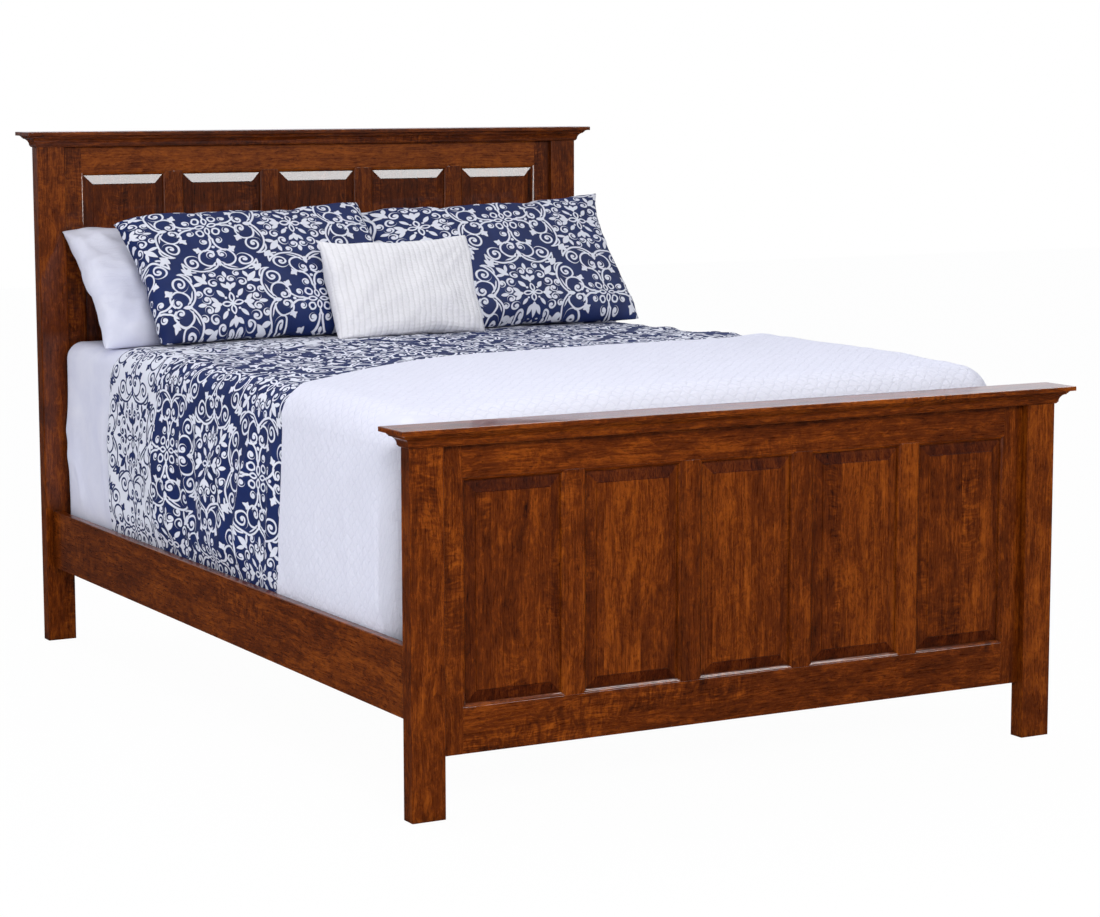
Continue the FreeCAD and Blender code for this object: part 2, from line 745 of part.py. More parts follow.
def duvet_block(name, bottom, grow, plan):
    """The duvet's outer form: soft shoulders, a crown, and thinner towards the pillows."""
    half = duvet_half + grow
    foot = duvet_foot - grow
    radius = S.duvet_shoulder + grow
    flank = bed_top + S.duvet_foot_top + grow
    level = bed_top + S.duvet_head_top + grow
    ridge = bed_top + S.duvet_mid_top + grow
    chord = half - radius
    crown_radius = (chord * chord + S.duvet_crown * S.duvet_crown) / (S.duvet_crown * 2)
    front = [(-half, bottom), (half, bottom), (half, flank - radius, radius, 1),
             (chord, flank, crown_radius, 1), (-chord, flank, radius, 1),
             (-half, flank - radius)]
    slope_top = duvet_edge - S.pillow_zone - S.duvet_rise
    side = [(foot, bottom), (duvet_edge, bottom), (duvet_edge, level),
            (duvet_edge - S.pillow_zone, level), (slope_top, ridge),
            (foot + radius, flank, radius, 1), (foot, flank - radius)]
    top = ridge + S.duvet_crown
    return soft_block(name, plan, front, side, bottom, top, half, foot, duvet_edge)


def duvet_plan(grow):
    half = duvet_half + grow
    foot = duvet_foot - grow
    radius = S.mattress_corner + grow
    return [(-half + radius, foot), (half - radius, foot, radius, 1), (half, foot + radius),
            (half, duvet_edge), (-half, duvet_edge), (-half, foot + radius, radius, 1)]


def quilt_plan(grow):
    """As the duvet's, with a head edge that runs askew in a shallow bow."""
    half = duvet_half + grow
    left = mattress_head - S.quilt_side_head
    right = mattress_head - S.quilt_far_head
    chord_square = half * half * 4 + (right - left) * (right - left)
    bow = S.quilt_bow
    radius = chord_square / (bow * 8) + bow / 2
    foot_half = duvet_plan(grow)
    return foot_half[:3] + [(half, right, radius, 1), (-half, left), foot_half[5]]


duvet_outer = duvet_block("duvet_outer", cover_bottom, no_growth, duvet_plan(no_growth))
under_duvet = bed_block("duvet_inner", below_covers, mattress_top, S.mattress_edge,
                        duvet_inside)
node("duvet", cut("duvet_cover", duvet_outer, under_duvet))

quilt_inside = S.layer_gap
quilt_outside = quilt_inside + S.quilt_thick
quilt_outer = duvet_block("quilt_outer", cover_bottom, quilt_outside,
                          quilt_plan(quilt_outside))
under_quilt = duvet_block("quilt_inner", below_covers, quilt_inside,
                          duvet_plan(quilt_inside))
node("quilt", cut("quilt_cover", quilt_outer, under_quilt))


# ---------------------------------------------------------------- pillows

# Half of a pillow's section: share of the half loft, and how far in from the seam as a
# share of the way to the middle.
CROWN = ((0.0, 0.0), (0.5, 0.1), (0.85, 0.28), (1.0, 0.56))
LEVELS = [(-high, inset) for high, inset in reversed(CROWN[1:])] + list(CROWN)


def flat_face(corners):
    return Part.Face(Part.makePolygon(corners + corners[:1]))


class Pillow:
    """Crowned pillow with drawn-in sides. It leans back about X by its own angle."""

    def __init__(self, name, width, height, loft, lean):
        self.name, self.width, self.height, self.loft = name, width, height, loft
        self.lean = math.radians(lean.value)

    def corners(self):
        """Section corners (y, z) about the middle, once leaned back."""
        result = []
        for high, inset in LEVELS:
            for way in (-1, 1):
                up = way * self.height.value / 2 * (1 - inset)
                out = high * self.loft.value / 2
                result.append((up * math.cos(self.lean) - out * math.sin(self.lean),
                               up * math.sin(self.lean) + out * math.cos(self.lean)))
        return result

    def stand_on(self, level):
        self.z = level + S.contact_gap.value - min(z for y, z in self.corners())

    def lean_on_wall(self, wall):
        self.y = wall - S.contact_gap.value - max(y for y, z in self.corners())

    def lean_on(self, other):
        """Brings the flat of the back up to the furthest point of the pillow behind."""
        out_y, out_z = -math.sin(self.lean), math.cos(self.lean)
        reach = max((other.y + y) * out_y + (other.z + z) * out_z for y, z in other.corners())
        plane = reach + S.contact_gap.value + self.loft.value / 2
        self.y = (self.z * out_z - plane) / -out_y

    def ring(self, high, inset):
        """Closed section at one level. Its sides pull in between the corners."""
        level = self.loft.value / 2 * high
        half_u = self.width.value / 2 * (1 - inset)
        half_v = self.height.value / 2 * (1 - inset)
        waist_u = half_u - S.seam_draw.value * (1 - inset)
        waist_v = half_v - S.seam_draw.value * (1 - inset)
        outline = [
            (-half_u, -half_v), (0, -waist_v), (half_u, -half_v), (waist_u, 0),
            (half_u, half_v), (0, waist_v), (-half_u, half_v), (-waist_u, 0),
        ]
        return [Vector(u, v, level) for u, v in outline]

    def make(self, x):
        rings = [self.ring(high, inset) for high, inset in LEVELS]
        faces = [flat_face(rings[0]), flat_face(rings[-1])]
        for low, high in zip(rings, rings[1:]):
            for index in range(len(low)):
                after = (index + 1) % len(low)
                faces.append(flat_face([low[index], low[after], high[after], high[index]]))
        form = doc.addObject("Part::Feature", f"{self.name}_form")
        form.Shape = Part.makeSolid(Part.makeShell(faces))
        tilt = FreeCAD.Rotation(Vector(1, 0, 0), math.degrees(self.lean))
        form.Placement = FreeCAD.Placement(Vector(x.value, self.y, self.z), tilt)
        node(self.name, form)


sheet_top = (mattress_top + sheet_outside).value
duvet_top = (bed_top + S.duvet_head_top).value
pillow_x = mattress_half - S.pillow_inset - S.pillow_width / 2
sham_x = (S.sham_width + S.sham_spacing) / 2

for side, sign in SIDES:
    pillow = Pillow(f"pillow_{side}", S.pillow_width, S.pillow_height, S.pillow_loft,
                    S.pillow_lean)
    pillow.stand_on(sheet_top)
    pillow.lean_on_wall(end_inner.value)
    pillow.make(pillow_x * sign)
    sham = Pillow(f"sham_{side}", S.sham_width, S.sham_height, S.sham_loft, S.sham_lean)
    sham.stand_on(duvet_top)
    sham.lean_on(pillow)
    sham.make(sham_x * sign + S.sham_offset)

throw = Pillow("throw_pillow", S.throw_width, S.throw_height, S.throw_loft, S.throw_lean)
throw.stand_on(duvet_top)
throw.lean_on(sham)
throw.make(S.throw_offset)


# ---------------------------------------------------------------- check and write

doc.recompute()
for item in doc.Objects:
    if "Invalid" in item.State or "Error" in item.State:
        raise SystemExit(f"{item.Label} failed: {item.State}")
for name, thing in nodes.items():
    shape = thing.Shape
    if shape.isNull() or not shape.isValid() or not shape.Solids:
        raise SystemExit(f"{name} has no sound solid")

os.makedirs("parts", exist_ok=True)
for name, thing in nodes.items():
    thing.Shape.exportStep(f"parts/{name}.step")
print(f"{len(nodes)} nodes written")
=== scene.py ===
"""Panel bed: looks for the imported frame. Metres, X across, Y from foot to head, Z up."""
import math

import bpy
import numpy as np
from mathutils import Matrix, Vector, noise


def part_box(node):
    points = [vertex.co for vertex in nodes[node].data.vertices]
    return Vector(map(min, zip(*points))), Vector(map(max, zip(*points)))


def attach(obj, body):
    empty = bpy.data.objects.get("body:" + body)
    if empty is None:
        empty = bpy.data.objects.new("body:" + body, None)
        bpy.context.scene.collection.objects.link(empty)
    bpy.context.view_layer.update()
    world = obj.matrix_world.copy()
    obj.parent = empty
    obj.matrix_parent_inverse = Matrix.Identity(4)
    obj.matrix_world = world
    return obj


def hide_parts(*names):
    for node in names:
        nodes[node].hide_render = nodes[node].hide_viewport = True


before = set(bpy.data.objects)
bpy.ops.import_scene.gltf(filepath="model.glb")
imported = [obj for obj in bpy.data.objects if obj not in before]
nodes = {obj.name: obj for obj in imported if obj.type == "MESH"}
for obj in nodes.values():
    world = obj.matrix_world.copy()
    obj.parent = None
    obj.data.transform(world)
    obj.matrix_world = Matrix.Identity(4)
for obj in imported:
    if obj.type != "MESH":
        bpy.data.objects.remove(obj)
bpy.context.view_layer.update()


# ---------------------------------------------------------------- camera

CAMERA_PLACE = Vector((-3.2670, -6.0993, 1.4723))
CAMERA_YAW = math.radians(-29.106)
CAMERA_PITCH = math.radians(-7.506)
CAMERA_ROLL = math.radians(-0.115)
LENS_MM = 92.815


def add_camera():
    data = bpy.data.cameras.new("camera")
    data.lens = LENS_MM
    data.sensor_width = 36
    data.clip_end = 60
    camera = bpy.data.objects.new("camera", data)
    bpy.context.scene.collection.objects.link(camera)
    yaw = Matrix.Rotation(CAMERA_YAW, 4, "Z")
    level = Matrix.Rotation(math.pi / 2 + CAMERA_PITCH, 4, "X")
    roll = Matrix.Rotation(CAMERA_ROLL, 4, "Z")
    camera.matrix_world = Matrix.Translation(CAMERA_PLACE) @ yaw @ level @ roll
    bpy.context.scene.camera = camera


add_camera()


# ---------------------------------------------------------------- node graphs

def linear(*srgb):
    """Colour picked as 0-255 values, for a shader."""
    shares = [value / 255 for value in srgb]
    return tuple(s / 12.92 if s <= 0.04045 else ((s + 0.055) / 1.055) ** 2.4
                 for s in shares) + (1.0,)


class Graph:
    """One material's node tree, built by calls that return sockets."""

    def __init__(self, name):
        self.material = bpy.data.materials.new(name)
        self.material.use_nodes = True
        self.tree = self.material.node_tree
        self.shader = self.tree.nodes["Principled BSDF"]

    def add(self, kind, settings=None, **inputs):
        made = self.tree.nodes.new(kind)
        for key, value in (settings or {}).items():
            setattr(made, key, value)
        for key, value in inputs.items():
            self.feed(made.inputs[key.replace("_", " ")], value)
        return made

    def feed(self, socket, value):
        if isinstance(value, bpy.types.NodeSocket):
            self.tree.links.new(value, socket)
        else:
            socket.default_value = value

    def math(self, operation, a, b=0.0):
        made = self.add("ShaderNodeMath", {"operation": operation})
        for socket, value in zip(made.inputs, (a, b)):
            self.feed(socket, value)
        return made.outputs[0]

    def vector(self, operation, a, b=(0.0, 0.0, 0.0)):
        made = self.add("ShaderNodeVectorMath", {"operation": operation})
        self.feed(made.inputs[0], a)
        self.feed(made.inputs[1], b)
        number = operation in ("LENGTH", "DISTANCE", "DOT_PRODUCT")
        return made.outputs["Value" if number else "Vector"]

    def scaled(self, vector, scale):
        return self.vector("MULTIPLY", vector, scale)

    def split(self, vector):
        return self.add("ShaderNodeSeparateXYZ", Vector=vector).outputs

    def join(self, x=0.0, y=0.0, z=0.0):
        return self.add("ShaderNodeCombineXYZ", X=x, Y=y, Z=z).outputs[0]

    def noise(self, vector, scale, detail=2.0, roughness=0.5, distortion=0.0):
        made = self.add("ShaderNodeTexNoise", Vector=vector, Scale=scale, Detail=detail,
                        Roughness=roughness, Distortion=distortion)
        return made.outputs["Fac"]

    def ramp(self, value, low, high, start=0.0, end=1.0):
        made = self.add("ShaderNodeMapRange", {"clamp": True}, Value=value)
        for socket, number in zip(made.inputs[1:5], (low, high, start, end)):
            self.feed(socket, number)
        return made.outputs[0]

    def mix(self, share, a, b, blend="MIX"):
        made = self.add("ShaderNodeMix", {"data_type": "RGBA", "blend_type": blend})
        self.feed(made.inputs[0], share)
        self.feed(made.inputs[6], a)
        self.feed(made.inputs[7], b)
        return made.outputs[2]

    def place(self, kind="Object"):
        return self.add("ShaderNodeTexCoord").outputs[kind]

    def bump(self, height, distance, strength=1.0, normal=None):
        made = self.add("ShaderNodeBump", Height=height, Distance=distance,
                        Strength=strength)
        if normal is not None:
            self.feed(made.inputs["Normal"], normal)
        return made.outputs[0]

    def finish(self, colour, roughness, normal=None, **constants):
        self.feed(self.shader.inputs["Base Color"], colour)
        self.feed(self.shader.inputs["Roughness"], roughness)
        if normal is not None:
            self.feed(self.shader.inputs["Normal"], normal)
        for key, value in constants.items():
            self.shader.inputs[key.replace("_", " ")].default_value = value
        return self.material


# ---------------------------------------------------------------- wood

CHERRY_DARK = linear(36, 11, 2)
CHERRY_MID = linear(94, 39, 5)
CHERRY_LIGHT = linear(152, 76, 15)
# Slope darkening: end-grain stain plus painted shade across the grain, painted shade only
# along it
END_GRAIN_STAIN_AND_PAINTED_SHADE = (0.50, 0.42, 0.42, 1.0)
SIDE_SLOPE_PAINTED_SHADE = (0.80, 0.77, 0.77, 1.0)


def cherry(name, along, strip=0.0, slopes=False, lighter=0.0):
    """Stained cherry with its grain along one axis (0, 1 or 2), and boards a strip wide
    where a panel is glued up. Slopes are darker: across the grain by end-grain stain
    together with painted shade, along the grain by painted shade alone. Painted shade
    also darkens the corners and recesses."""
    g = Graph(name)
    chance = g.add("ShaderNodeObjectInfo").outputs["Random"]
    shift = g.math("MULTIPLY", chance, 61.0)
    place = g.vector("ADD", g.place(), g.join(shift, shift, shift))
    board = chance
    if strip:
        wobble = g.math("MULTIPLY", chance, strip)
        count = g.math("FLOOR", g.math("DIVIDE", g.math("ADD", g.split(g.place())[0],
                                                      wobble), strip))
        dice = g.add("ShaderNodeTexWhiteNoise", {"noise_dimensions": "2D"},
                     Vector=g.join(count, chance))
        board = dice.outputs["Value"]
        place = g.vector("ADD", place, g.join(g.math("MULTIPLY", board, 3.0), 0.0,
                                              g.math("MULTIPLY", board, 7.0)))

    def stretch(across, length):
        scale = [across] * 3
        scale[along] = length
        return g.scaled(place, scale)

    def centred(value, amount):
        return g.math("MULTIPLY", g.math("SUBTRACT", value, 0.5), amount)

    sway = g.math("MULTIPLY", g.noise(stretch(11.0, 3.5), 1.0, 2.0), 0.035)
    place = g.vector("ADD", place, g.join(sway, sway, sway))
    rings = g.noise(stretch(5.0, 0.5), 1.0, 2.0, 0.5, 0.35)
    bands = g.math("PINGPONG", g.math("MULTIPLY", rings, 26.0), 1.0)
    fibre = g.noise(stretch(330.0, 16.0), 1.0, 5.0, 0.8, 0.2)
    streak = g.noise(stretch(85.0, 4.5), 1.0, 5.0, 0.7, 0.4)
    mottle = g.noise(stretch(62.0, 30.0), 1.0, 6.0, 0.8, 1.3)
    cloud = g.noise(stretch(12.0, 6.0), 1.0, 4.0, 0.6, 1.2)
    curl = g.noise(stretch(22.0, 80.0), 1.0, 2.0, 0.5, 1.4)
    curled = g.ramp(g.noise(stretch(9.0, 2.0), 1.0, 1.0), 0.58, 0.68)
    tone = g.math("ADD", centred(fibre, 1.7), centred(streak, 0.6))
    tone = g.math("ADD", tone, centred(mottle, 1.45))
    tone = g.math("ADD", tone, centred(cloud, 0.85))
    tone = g.math("ADD", tone, centred(bands, 0.18))
    tone = g.math("ADD", tone, g.math("MULTIPLY", centred(curl, 1.2), curled))
    tone = g.math("ADD", tone, g.math("ADD", centred(board, 0.26), lighter))
    colour = g.mix(g.ramp(tone, -0.62, 0.06), CHERRY_DARK, CHERRY_MID)
    colour = g.mix(g.ramp(tone, 0.0, 0.62), colour, CHERRY_LIGHT)
    fleck = g.noise(stretch(240.0, 50.0), 1.0, 2.0, 0.5)
    fleck = g.ramp(fleck, 0.29, 0.36, 0.5, 1.0)
    colour = g.mix(1.0, colour, g.join(fleck, fleck, fleck), "MULTIPLY")
    flat_normal = None
    if slopes:
        flat_normal = g.add("ShaderNodeNewGeometry").outputs["True Normal"]
        g.feed(g.shader.inputs["Coat Normal"], flat_normal)
        _, facing, up = g.split(flat_normal)
        # Painted shade on the slopes: top and bottom slopes by end-grain stain with painted
        # shade, side slopes by painted shade alone
        slope = g.ramp(g.math("ABSOLUTE", facing), 0.985, 0.995, 1.0, 0.0)
        shade = g.mix(g.ramp(g.math("ABSOLUTE", up), 0.04, 0.10), SIDE_SLOPE_PAINTED_SHADE, END_GRAIN_STAIN_AND_PAINTED_SHADE)
        colour = g.mix(slope, colour, g.mix(1.0, colour, shade, "MULTIPLY"))
    # Painted shade: colour darkened where ambient occlusion finds corners and recesses, under
    # the cap and between parts
    recess_occlusion = g.add("ShaderNodeAmbientOcclusion", {"samples": 4}, Distance=0.028)
    painted_recess_shade = g.ramp(recess_occlusion.outputs["AO"], 0.30, 0.85, 0.40, 1.0)
    colour = g.mix(1.0, colour, g.join(painted_recess_shade, painted_recess_shade, painted_recess_shade), "MULTIPLY")
    roughness = g.ramp(fibre, 0.2, 0.8, 0.24, 0.34)
    normal = g.bump(fibre, 0.0004, 0.10, flat_normal)
    return g.finish(colour, roughness, normal, Coat_Weight=0.4, Coat_Roughness=0.05,
                    Specular_IOR_Level=0.08)


def plain_wood(name):
    g = Graph(name)
    place = g.place()
    fibre = g.noise(g.scaled(place, (18.0, 380.0, 380.0)), 1.0, 4.0, 0.6)
    figure = g.noise(g.scaled(place, (2.0, 30.0, 30.0)), 1.0, 3.0, 0.5, 0.5)
    tone = g.math("ADD", g.math("MULTIPLY", fibre, 0.5), g.math("MULTIPLY", figure, 0.5))
    colour = g.mix(g.ramp(tone, 0.3, 0.7), linear(176, 138, 92), linear(214, 182, 134))
    return g.finish(colour, 0.62, g.bump(fibre, 0.0005, 0.4))


upright_wood = cherry("cherry_upright", 2)
crosswise_wood = cherry("cherry_crosswise", 0)
lengthwise_wood = cherry("cherry_lengthwise", 1)
panel_wood = cherry("cherry_panel", 2, strip=0.088, slopes=True)
head_panel_wood = cherry("cherry_head_panel", 2, strip=0.088, slopes=True, lighter=-0.16)
head_rail_wood = cherry("cherry_head_rail", 0, lighter=0.30)
slat_wood = plain_wood("slat_poplar")


def steel():
    g = Graph("zinc_steel")
    place = g.place()
    spangle = g.noise(place, 160.0, 2.0)
    colour = g.mix(g.ramp(spangle, 0.3, 0.7), linear(150, 152, 156), linear(196, 198, 202))
    return g.finish(colour, g.ramp(spangle, 0.3, 0.7, 0.3, 0.45), Metallic=1.0)


def nylon():
    g = Graph("black_nylon")
    grain = g.noise(g.place(), 900.0, 2.0)
    colour = g.mix(grain, linear(20, 20, 21), linear(34, 34, 35))
    return g.finish(colour, 0.5, g.bump(grain, 0.0002, 0.3))


zinc_steel = steel()
black_nylon = nylon()


def dress_node(name, material):
    thing = nodes[name]
    thing.data.materials.clear()
    thing.data.materials.append(material)


WELD_GAP = 0.00002


def ease_edges(name, width, flat):
    """Broken arrises on a sharp CAD piece: rounded over, or a flat on its square edges."""
    thing = nodes[name]
    weld = thing.modifiers.new("weld", "WELD")
    weld.merge_threshold = WELD_GAP
    bevel = thing.modifiers.new("ease", "BEVEL")
    bevel.width = width
    bevel.segments = 1 if flat else 2
    bevel.limit_method = "ANGLE"
    bevel.angle_limit = math.radians(86 if flat else 35)
    bevel.harden_normals = not flat


EASED = {"stile": 0.0012, "mullion": 0.0012, "rail": 0.0013, "panel": 0.0017,
         "cleat": 0.0015, "slat": 0.0015, "leg": 0.0015}

for name in nodes:
    for part, width in EASED.items():
        if part in name.split("_") and not name.endswith("plates"):
            ease_edges(name, width, flat=part == "panel")

for name in nodes:
    if name == "head_top_rail":
        dress_node(name, head_rail_wood)
    elif name.startswith("head_panel"):
        dress_node(name, head_panel_wood)
    elif "cap_" in name or name.endswith(("top_rail", "bottom_rail")):
        dress_node(name, crosswise_wood)
    elif name.startswith("side_rail"):
        dress_node(name, lengthwise_wood)
    elif "_panel_" in name:
        dress_node(name, panel_wood)
    elif "_post_" in name or "_stile_" in name or "_mullion_" in name:
        dress_node(name, upright_wood)
    elif name.startswith(("slat", "cleat", "center_leg")):
        dress_node(name, slat_wood)
    elif name.endswith("plates"):
        dress_node(name, zinc_steel)
    elif name.startswith("leveling"):
        dress_node(name, black_nylon)


# ---------------------------------------------------------------- fabrics

LINEN_WHITE = linear(226, 228, 238)


def weave(g, vector, scale, depth, normal=None):
    """Fine plain weave: two crossed sets of threads."""
    x, y, _ = g.split(g.scaled(vector, (scale, scale, scale)))
    over = g.math("MULTIPLY", g.math("SINE", x), g.math("SINE", y))
    return g.bump(over, depth, 0.5, normal)


def cloth_place(g):
    """Flat coordinates of the cloth, in metres."""
    return g.add("ShaderNodeUVMap", {"uv_map": "cloth"}).outputs[0]


def white_cotton():
    g = Graph("white_cotton")
    place = cloth_place(g)
    soft = g.noise(place, 7.0, 4.0, 0.6, 0.6)
    crease = g.noise(g.scaled(place, (1.0, 3.0, 1.0)), 16.0, 3.0, 0.55, 1.2)
    height = g.math("ADD", soft, g.math("MULTIPLY", crease, 0.45))
    normal = g.bump(height, 0.006, 0.55)
    normal = weave(g, place, 5200.0, 0.0001, normal)
    colour = g.mix(g.ramp(soft, 0.3, 0.7), linear(214, 216, 234), linear(228, 229, 242))
    return g.finish(colour, 0.86, normal, Specular_IOR_Level=0.2)


def quilted_cotton():
    """Fine puckered quilting in little overlapping waves."""
    g = Graph("quilted_cotton")
    place = cloth_place(g)
    warp = g.add("ShaderNodeTexNoise", Vector=place, Scale=24.0, Detail=2.0)
    drift = g.scaled(g.vector("SUBTRACT", warp.outputs["Color"], (0.5, 0.5, 0.5)),
                     (0.022, 0.018, 0.0))
    x, y, _ = g.split(g.vector("ADD", place, drift))
    row = g.math("MULTIPLY", y, 62.0)
    odd = g.math("MULTIPLY", g.math("FLOOR", row), 0.5)
    cell = g.math("SUBTRACT", g.math("FRACT", g.math("ADD", g.math("MULTIPLY", x, 34.0),
                                                      odd)), 0.5)
    rise = g.math("FRACT", row)
    arch = g.math("SUBTRACT", g.math("MULTIPLY", g.math("MULTIPLY", cell, cell), 3.4), 0.8)
    stitch = g.math("ABSOLUTE", g.math("ADD", arch, rise))
    puff = g.math("POWER", g.ramp(stitch, 0.0, 0.5), 0.5)
    pucker = g.noise(g.scaled(place, (1.0, 1.6, 1.0)), 95.0, 3.0, 0.6, 0.8)
    soft = g.noise(place, 6.0, 4.0, 0.6, 0.5)
    crease = g.noise(g.scaled(place, (1.0, 4.0, 1.0)), 13.0, 3.0, 0.6, 1.0)
    normal = g.bump(g.math("ADD", soft, g.math("MULTIPLY", crease, 0.5)), 0.008, 0.6)
    normal = g.bump(g.math("ADD", puff, g.math("MULTIPLY", pucker, 1.6)), 0.0022, 0.55,
                    normal)
    normal = weave(g, place, 4200.0, 0.0001, normal)
    # Painted shade: the colour is darker along the stitched grooves and lighter on the puffs
    colour = g.mix(g.ramp(puff, 0.0, 0.5), linear(213, 215, 231), linear(228, 229, 242))
    return g.finish(colour, 0.85, normal, Specular_IOR_Level=0.2)


def ribbed_cotton():
    """Upright ribs crossed by fine rows."""
    g = Graph("ribbed_cotton")
    place = cloth_place(g)
    wave = g.add("ShaderNodeTexNoise", Vector=place, Scale=38.0, Detail=2.0)
    drift = g.scaled(g.vector("SUBTRACT", wave.outputs["Color"], (0.5, 0.5, 0.5)),
                     (0.008, 0.006, 0.0))
    x, y, _ = g.split(g.vector("ADD", place, drift))
    rib = g.math("ABSOLUTE", g.math("SINE", g.math("MULTIPLY", x, 195.0)))
    rib = g.math("POWER", rib, 0.6)
    row = g.math("ABSOLUTE", g.math("SINE", g.math("MULTIPLY", y, 420.0)))
    height = g.math("ADD", rib, g.math("MULTIPLY", g.math("MULTIPLY", row, rib), 0.8))
    fuzz = g.noise(place, 420.0, 3.0)
    normal = g.bump(height, 0.0022, 0.45)
    normal = g.bump(fuzz, 0.0009, 0.5, normal)
    # Painted shade: the colour is darker in the grooves between the ribs
    colour = g.mix(g.ramp(rib, 0.1, 0.7), linear(233, 232, 235), linear(246, 245, 249))
    return g.finish(colour, 0.92, normal, Specular_IOR_Level=0.2)


def ticking():
    g = Graph("ticking")
    place = g.place()
    x, y, _ = g.split(place)
    line = g.math("SINE", g.math("MULTIPLY", g.math("ADD", x, y), 900.0))
    colour = g.mix(g.ramp(line, 0.86, 0.95), linear(222, 221, 216), linear(178, 182, 190))
    normal = weave(g, place, 3800.0, 0.0002)
    return g.finish(colour, 0.88, normal)


class Motif:
    """Scroll pattern: signed distances to drawn forms, in metres, joined as they come."""

    def __init__(self, g, point):
        self.g = g
        self.point = point
        self.nearest = None

    def join(self, distance):
        if self.nearest is None:
            self.nearest = distance
        else:
            self.nearest = self.g.math("MINIMUM", self.nearest, distance)

    def far(self, x, y):
        return self.g.vector("DISTANCE", self.point, (x, y, 0.0))

    def outline(self, distance, line):
        return self.g.math("SUBTRACT", self.g.math("ABSOLUTE", distance), line)

    def spot(self, x, y, radius):
        self.join(self.g.math("SUBTRACT", self.far(x, y), radius))

    def ring(self, x, y, radius, line):
        self.join(self.outline(self.g.math("SUBTRACT", self.far(x, y), radius), line))

    def arc(self, x, y, radius, turn, spread, line):
        """Part of a ring, spread degrees either way of one heading."""
        g = self.g
        heading = (math.cos(math.radians(turn)), math.sin(math.radians(turn)), 0.0)
        reach = g.vector("DOT_PRODUCT", g.vector("SUBTRACT", self.point, (x, y, 0.0)), heading)
        behind = g.math("SUBTRACT", radius * math.cos(math.radians(spread)), reach)
        whole = self.outline(g.math("SUBTRACT", self.far(x, y), radius), line)
        self.join(g.math("MAXIMUM", whole, behind))

    def leaf(self, x, y, turn, length, width, line=None):
        """Pointed leaf, what two discs share: solid, or a line round it."""
        bulge = (length * length + width * width) / (4 * width)
        offset = bulge - width / 2
        side = Vector((-math.sin(math.radians(turn)), math.cos(math.radians(turn))))
        discs = [self.g.math("SUBTRACT", self.far(x + side.x * offset * way,
                                                  y + side.y * offset * way), bulge)
                 for way in (-1, 1)]
        whole = self.g.math("MAXIMUM", *discs)
        if line:
            whole = self.outline(self.g.math("ADD", whole, line), line)
        self.join(whole)

    def curl(self, x, y, radius, pitch, start, hand, line=0.0030):
        """Spiral line that winds in to a drop at its centre."""
        g = self.g
        away = g.vector("SUBTRACT", self.point, (x, y, 0.0))
        reach = g.vector("LENGTH", away)
        east, north, _ = g.split(away)
        turn = g.math("MULTIPLY", g.math("ARCTAN2", north, east), hand / math.tau)
        wind = g.math("SUBTRACT", g.math("DIVIDE", reach, pitch), turn)
        wind = g.math("FRACT", g.math("ADD", wind, start))
        gap = g.math("ABSOLUTE", g.math("SUBTRACT", wind, 0.5))
        gap = g.math("SUBTRACT", g.math("MULTIPLY", gap, pitch), line)
        self.join(g.math("MAXIMUM", gap, g.math("SUBTRACT", reach, radius)))
        self.spot(x, y, line * 1.5)


CELL = Vector((0.240, 0.262))


def draw_axis(m, flip):
    """Forms along one axis of a damask diamond, its centre at the origin. Flipped, they
    run up instead of across."""
    def at(along, off):
        return (off, along * CELL.y / CELL.x) if flip else (along, off)

    def way(turn):
        return 90 - turn if flip else turn

    hand = -1 if flip else 1
    # one arm of the cross, with its curls
    m.leaf(*at(0.016, 0), way(0), 0.030, 0.017, 0.0024)
    m.leaf(*at(0.045, 0), way(0), 0.032, 0.015)
    m.leaf(*at(0.047, 0.012), way(40), 0.027, 0.012)
    m.curl(*at(0.069, 0.014), 0.0120, 0.0110, 0.2, hand)
    m.leaf(*at(0.084, 0), way(0), 0.024, 0.011)
    m.curl(*at(0.057, 0.039), 0.0145, 0.0125, 0.55, -hand)
    m.curl(*at(0.086, 0.034), 0.0110, 0.0105, 0.1, hand)
    # frame round the cross
    m.arc(*at(0.153, 0.050), 0.060, way(180), 60, 0.0030)
    m.arc(*at(0.153, 0.050), 0.051, way(210), 24, 0.0022)
    # heart of two spirals at the tip, and its neck
    m.arc(*at(0.139, 0.024), 0.026, way(80), 130, 0.0028)
    m.arc(*at(0.192, 0.040), 0.036, way(242), 44, 0.0030)
    m.curl(*at(0.147, 0.015), 0.0130, 0.0112, 0.3, hand)
    m.leaf(*at(0.124, 0), way(0), 0.026, 0.013)
    m.spot(*at(0.172, 0), 0.0048)
    # outer scroll that ends in a star
    m.curl(*at(0.127, 0.071), 0.0240, 0.0150, 0.15, -hand)
    m.arc(*at(0.118, 0.078), 0.0240, way(130), 62, 0.0026)
    m.leaf(*at(0.164, 0.047), way(62), 0.028, 0.013)
    m.leaf(*at(0.164, 0.047), way(-25), 0.024, 0.011)
    m.curl(*at(0.192, 0.021), 0.0105, 0.0098, 0.4, -hand)
    # knot that four diamonds share
    m.leaf(*at(0.224, 0), way(0), 0.028, 0.016, 0.0024)
    m.ring(*at(0.219, 0.022), 0.0095, 0.0027)
    m.leaf(*at(0.206, 0), way(0), 0.022, 0.007)


def draw_corner(m):
    """Leaves on the slant between a diamond's two axes, and the spot at its centre."""
    m.spot(0, 0, 0.006)
    m.leaf(0.027, 0.029, 47, 0.028, 0.012)
    m.spot(0.0155, 0.0170, 0.0035)
    m.leaf(0.070, 0.077, 47, 0.044, 0.017)
    m.leaf(0.057, 0.087, 104, 0.028, 0.011)
    m.leaf(0.080, 0.063, -10, 0.028, 0.011)
    m.leaf(0.098, 0.107, 47, 0.034, 0.015)
    m.leaf(0.094, 0.110, 137, 0.036, 0.013)


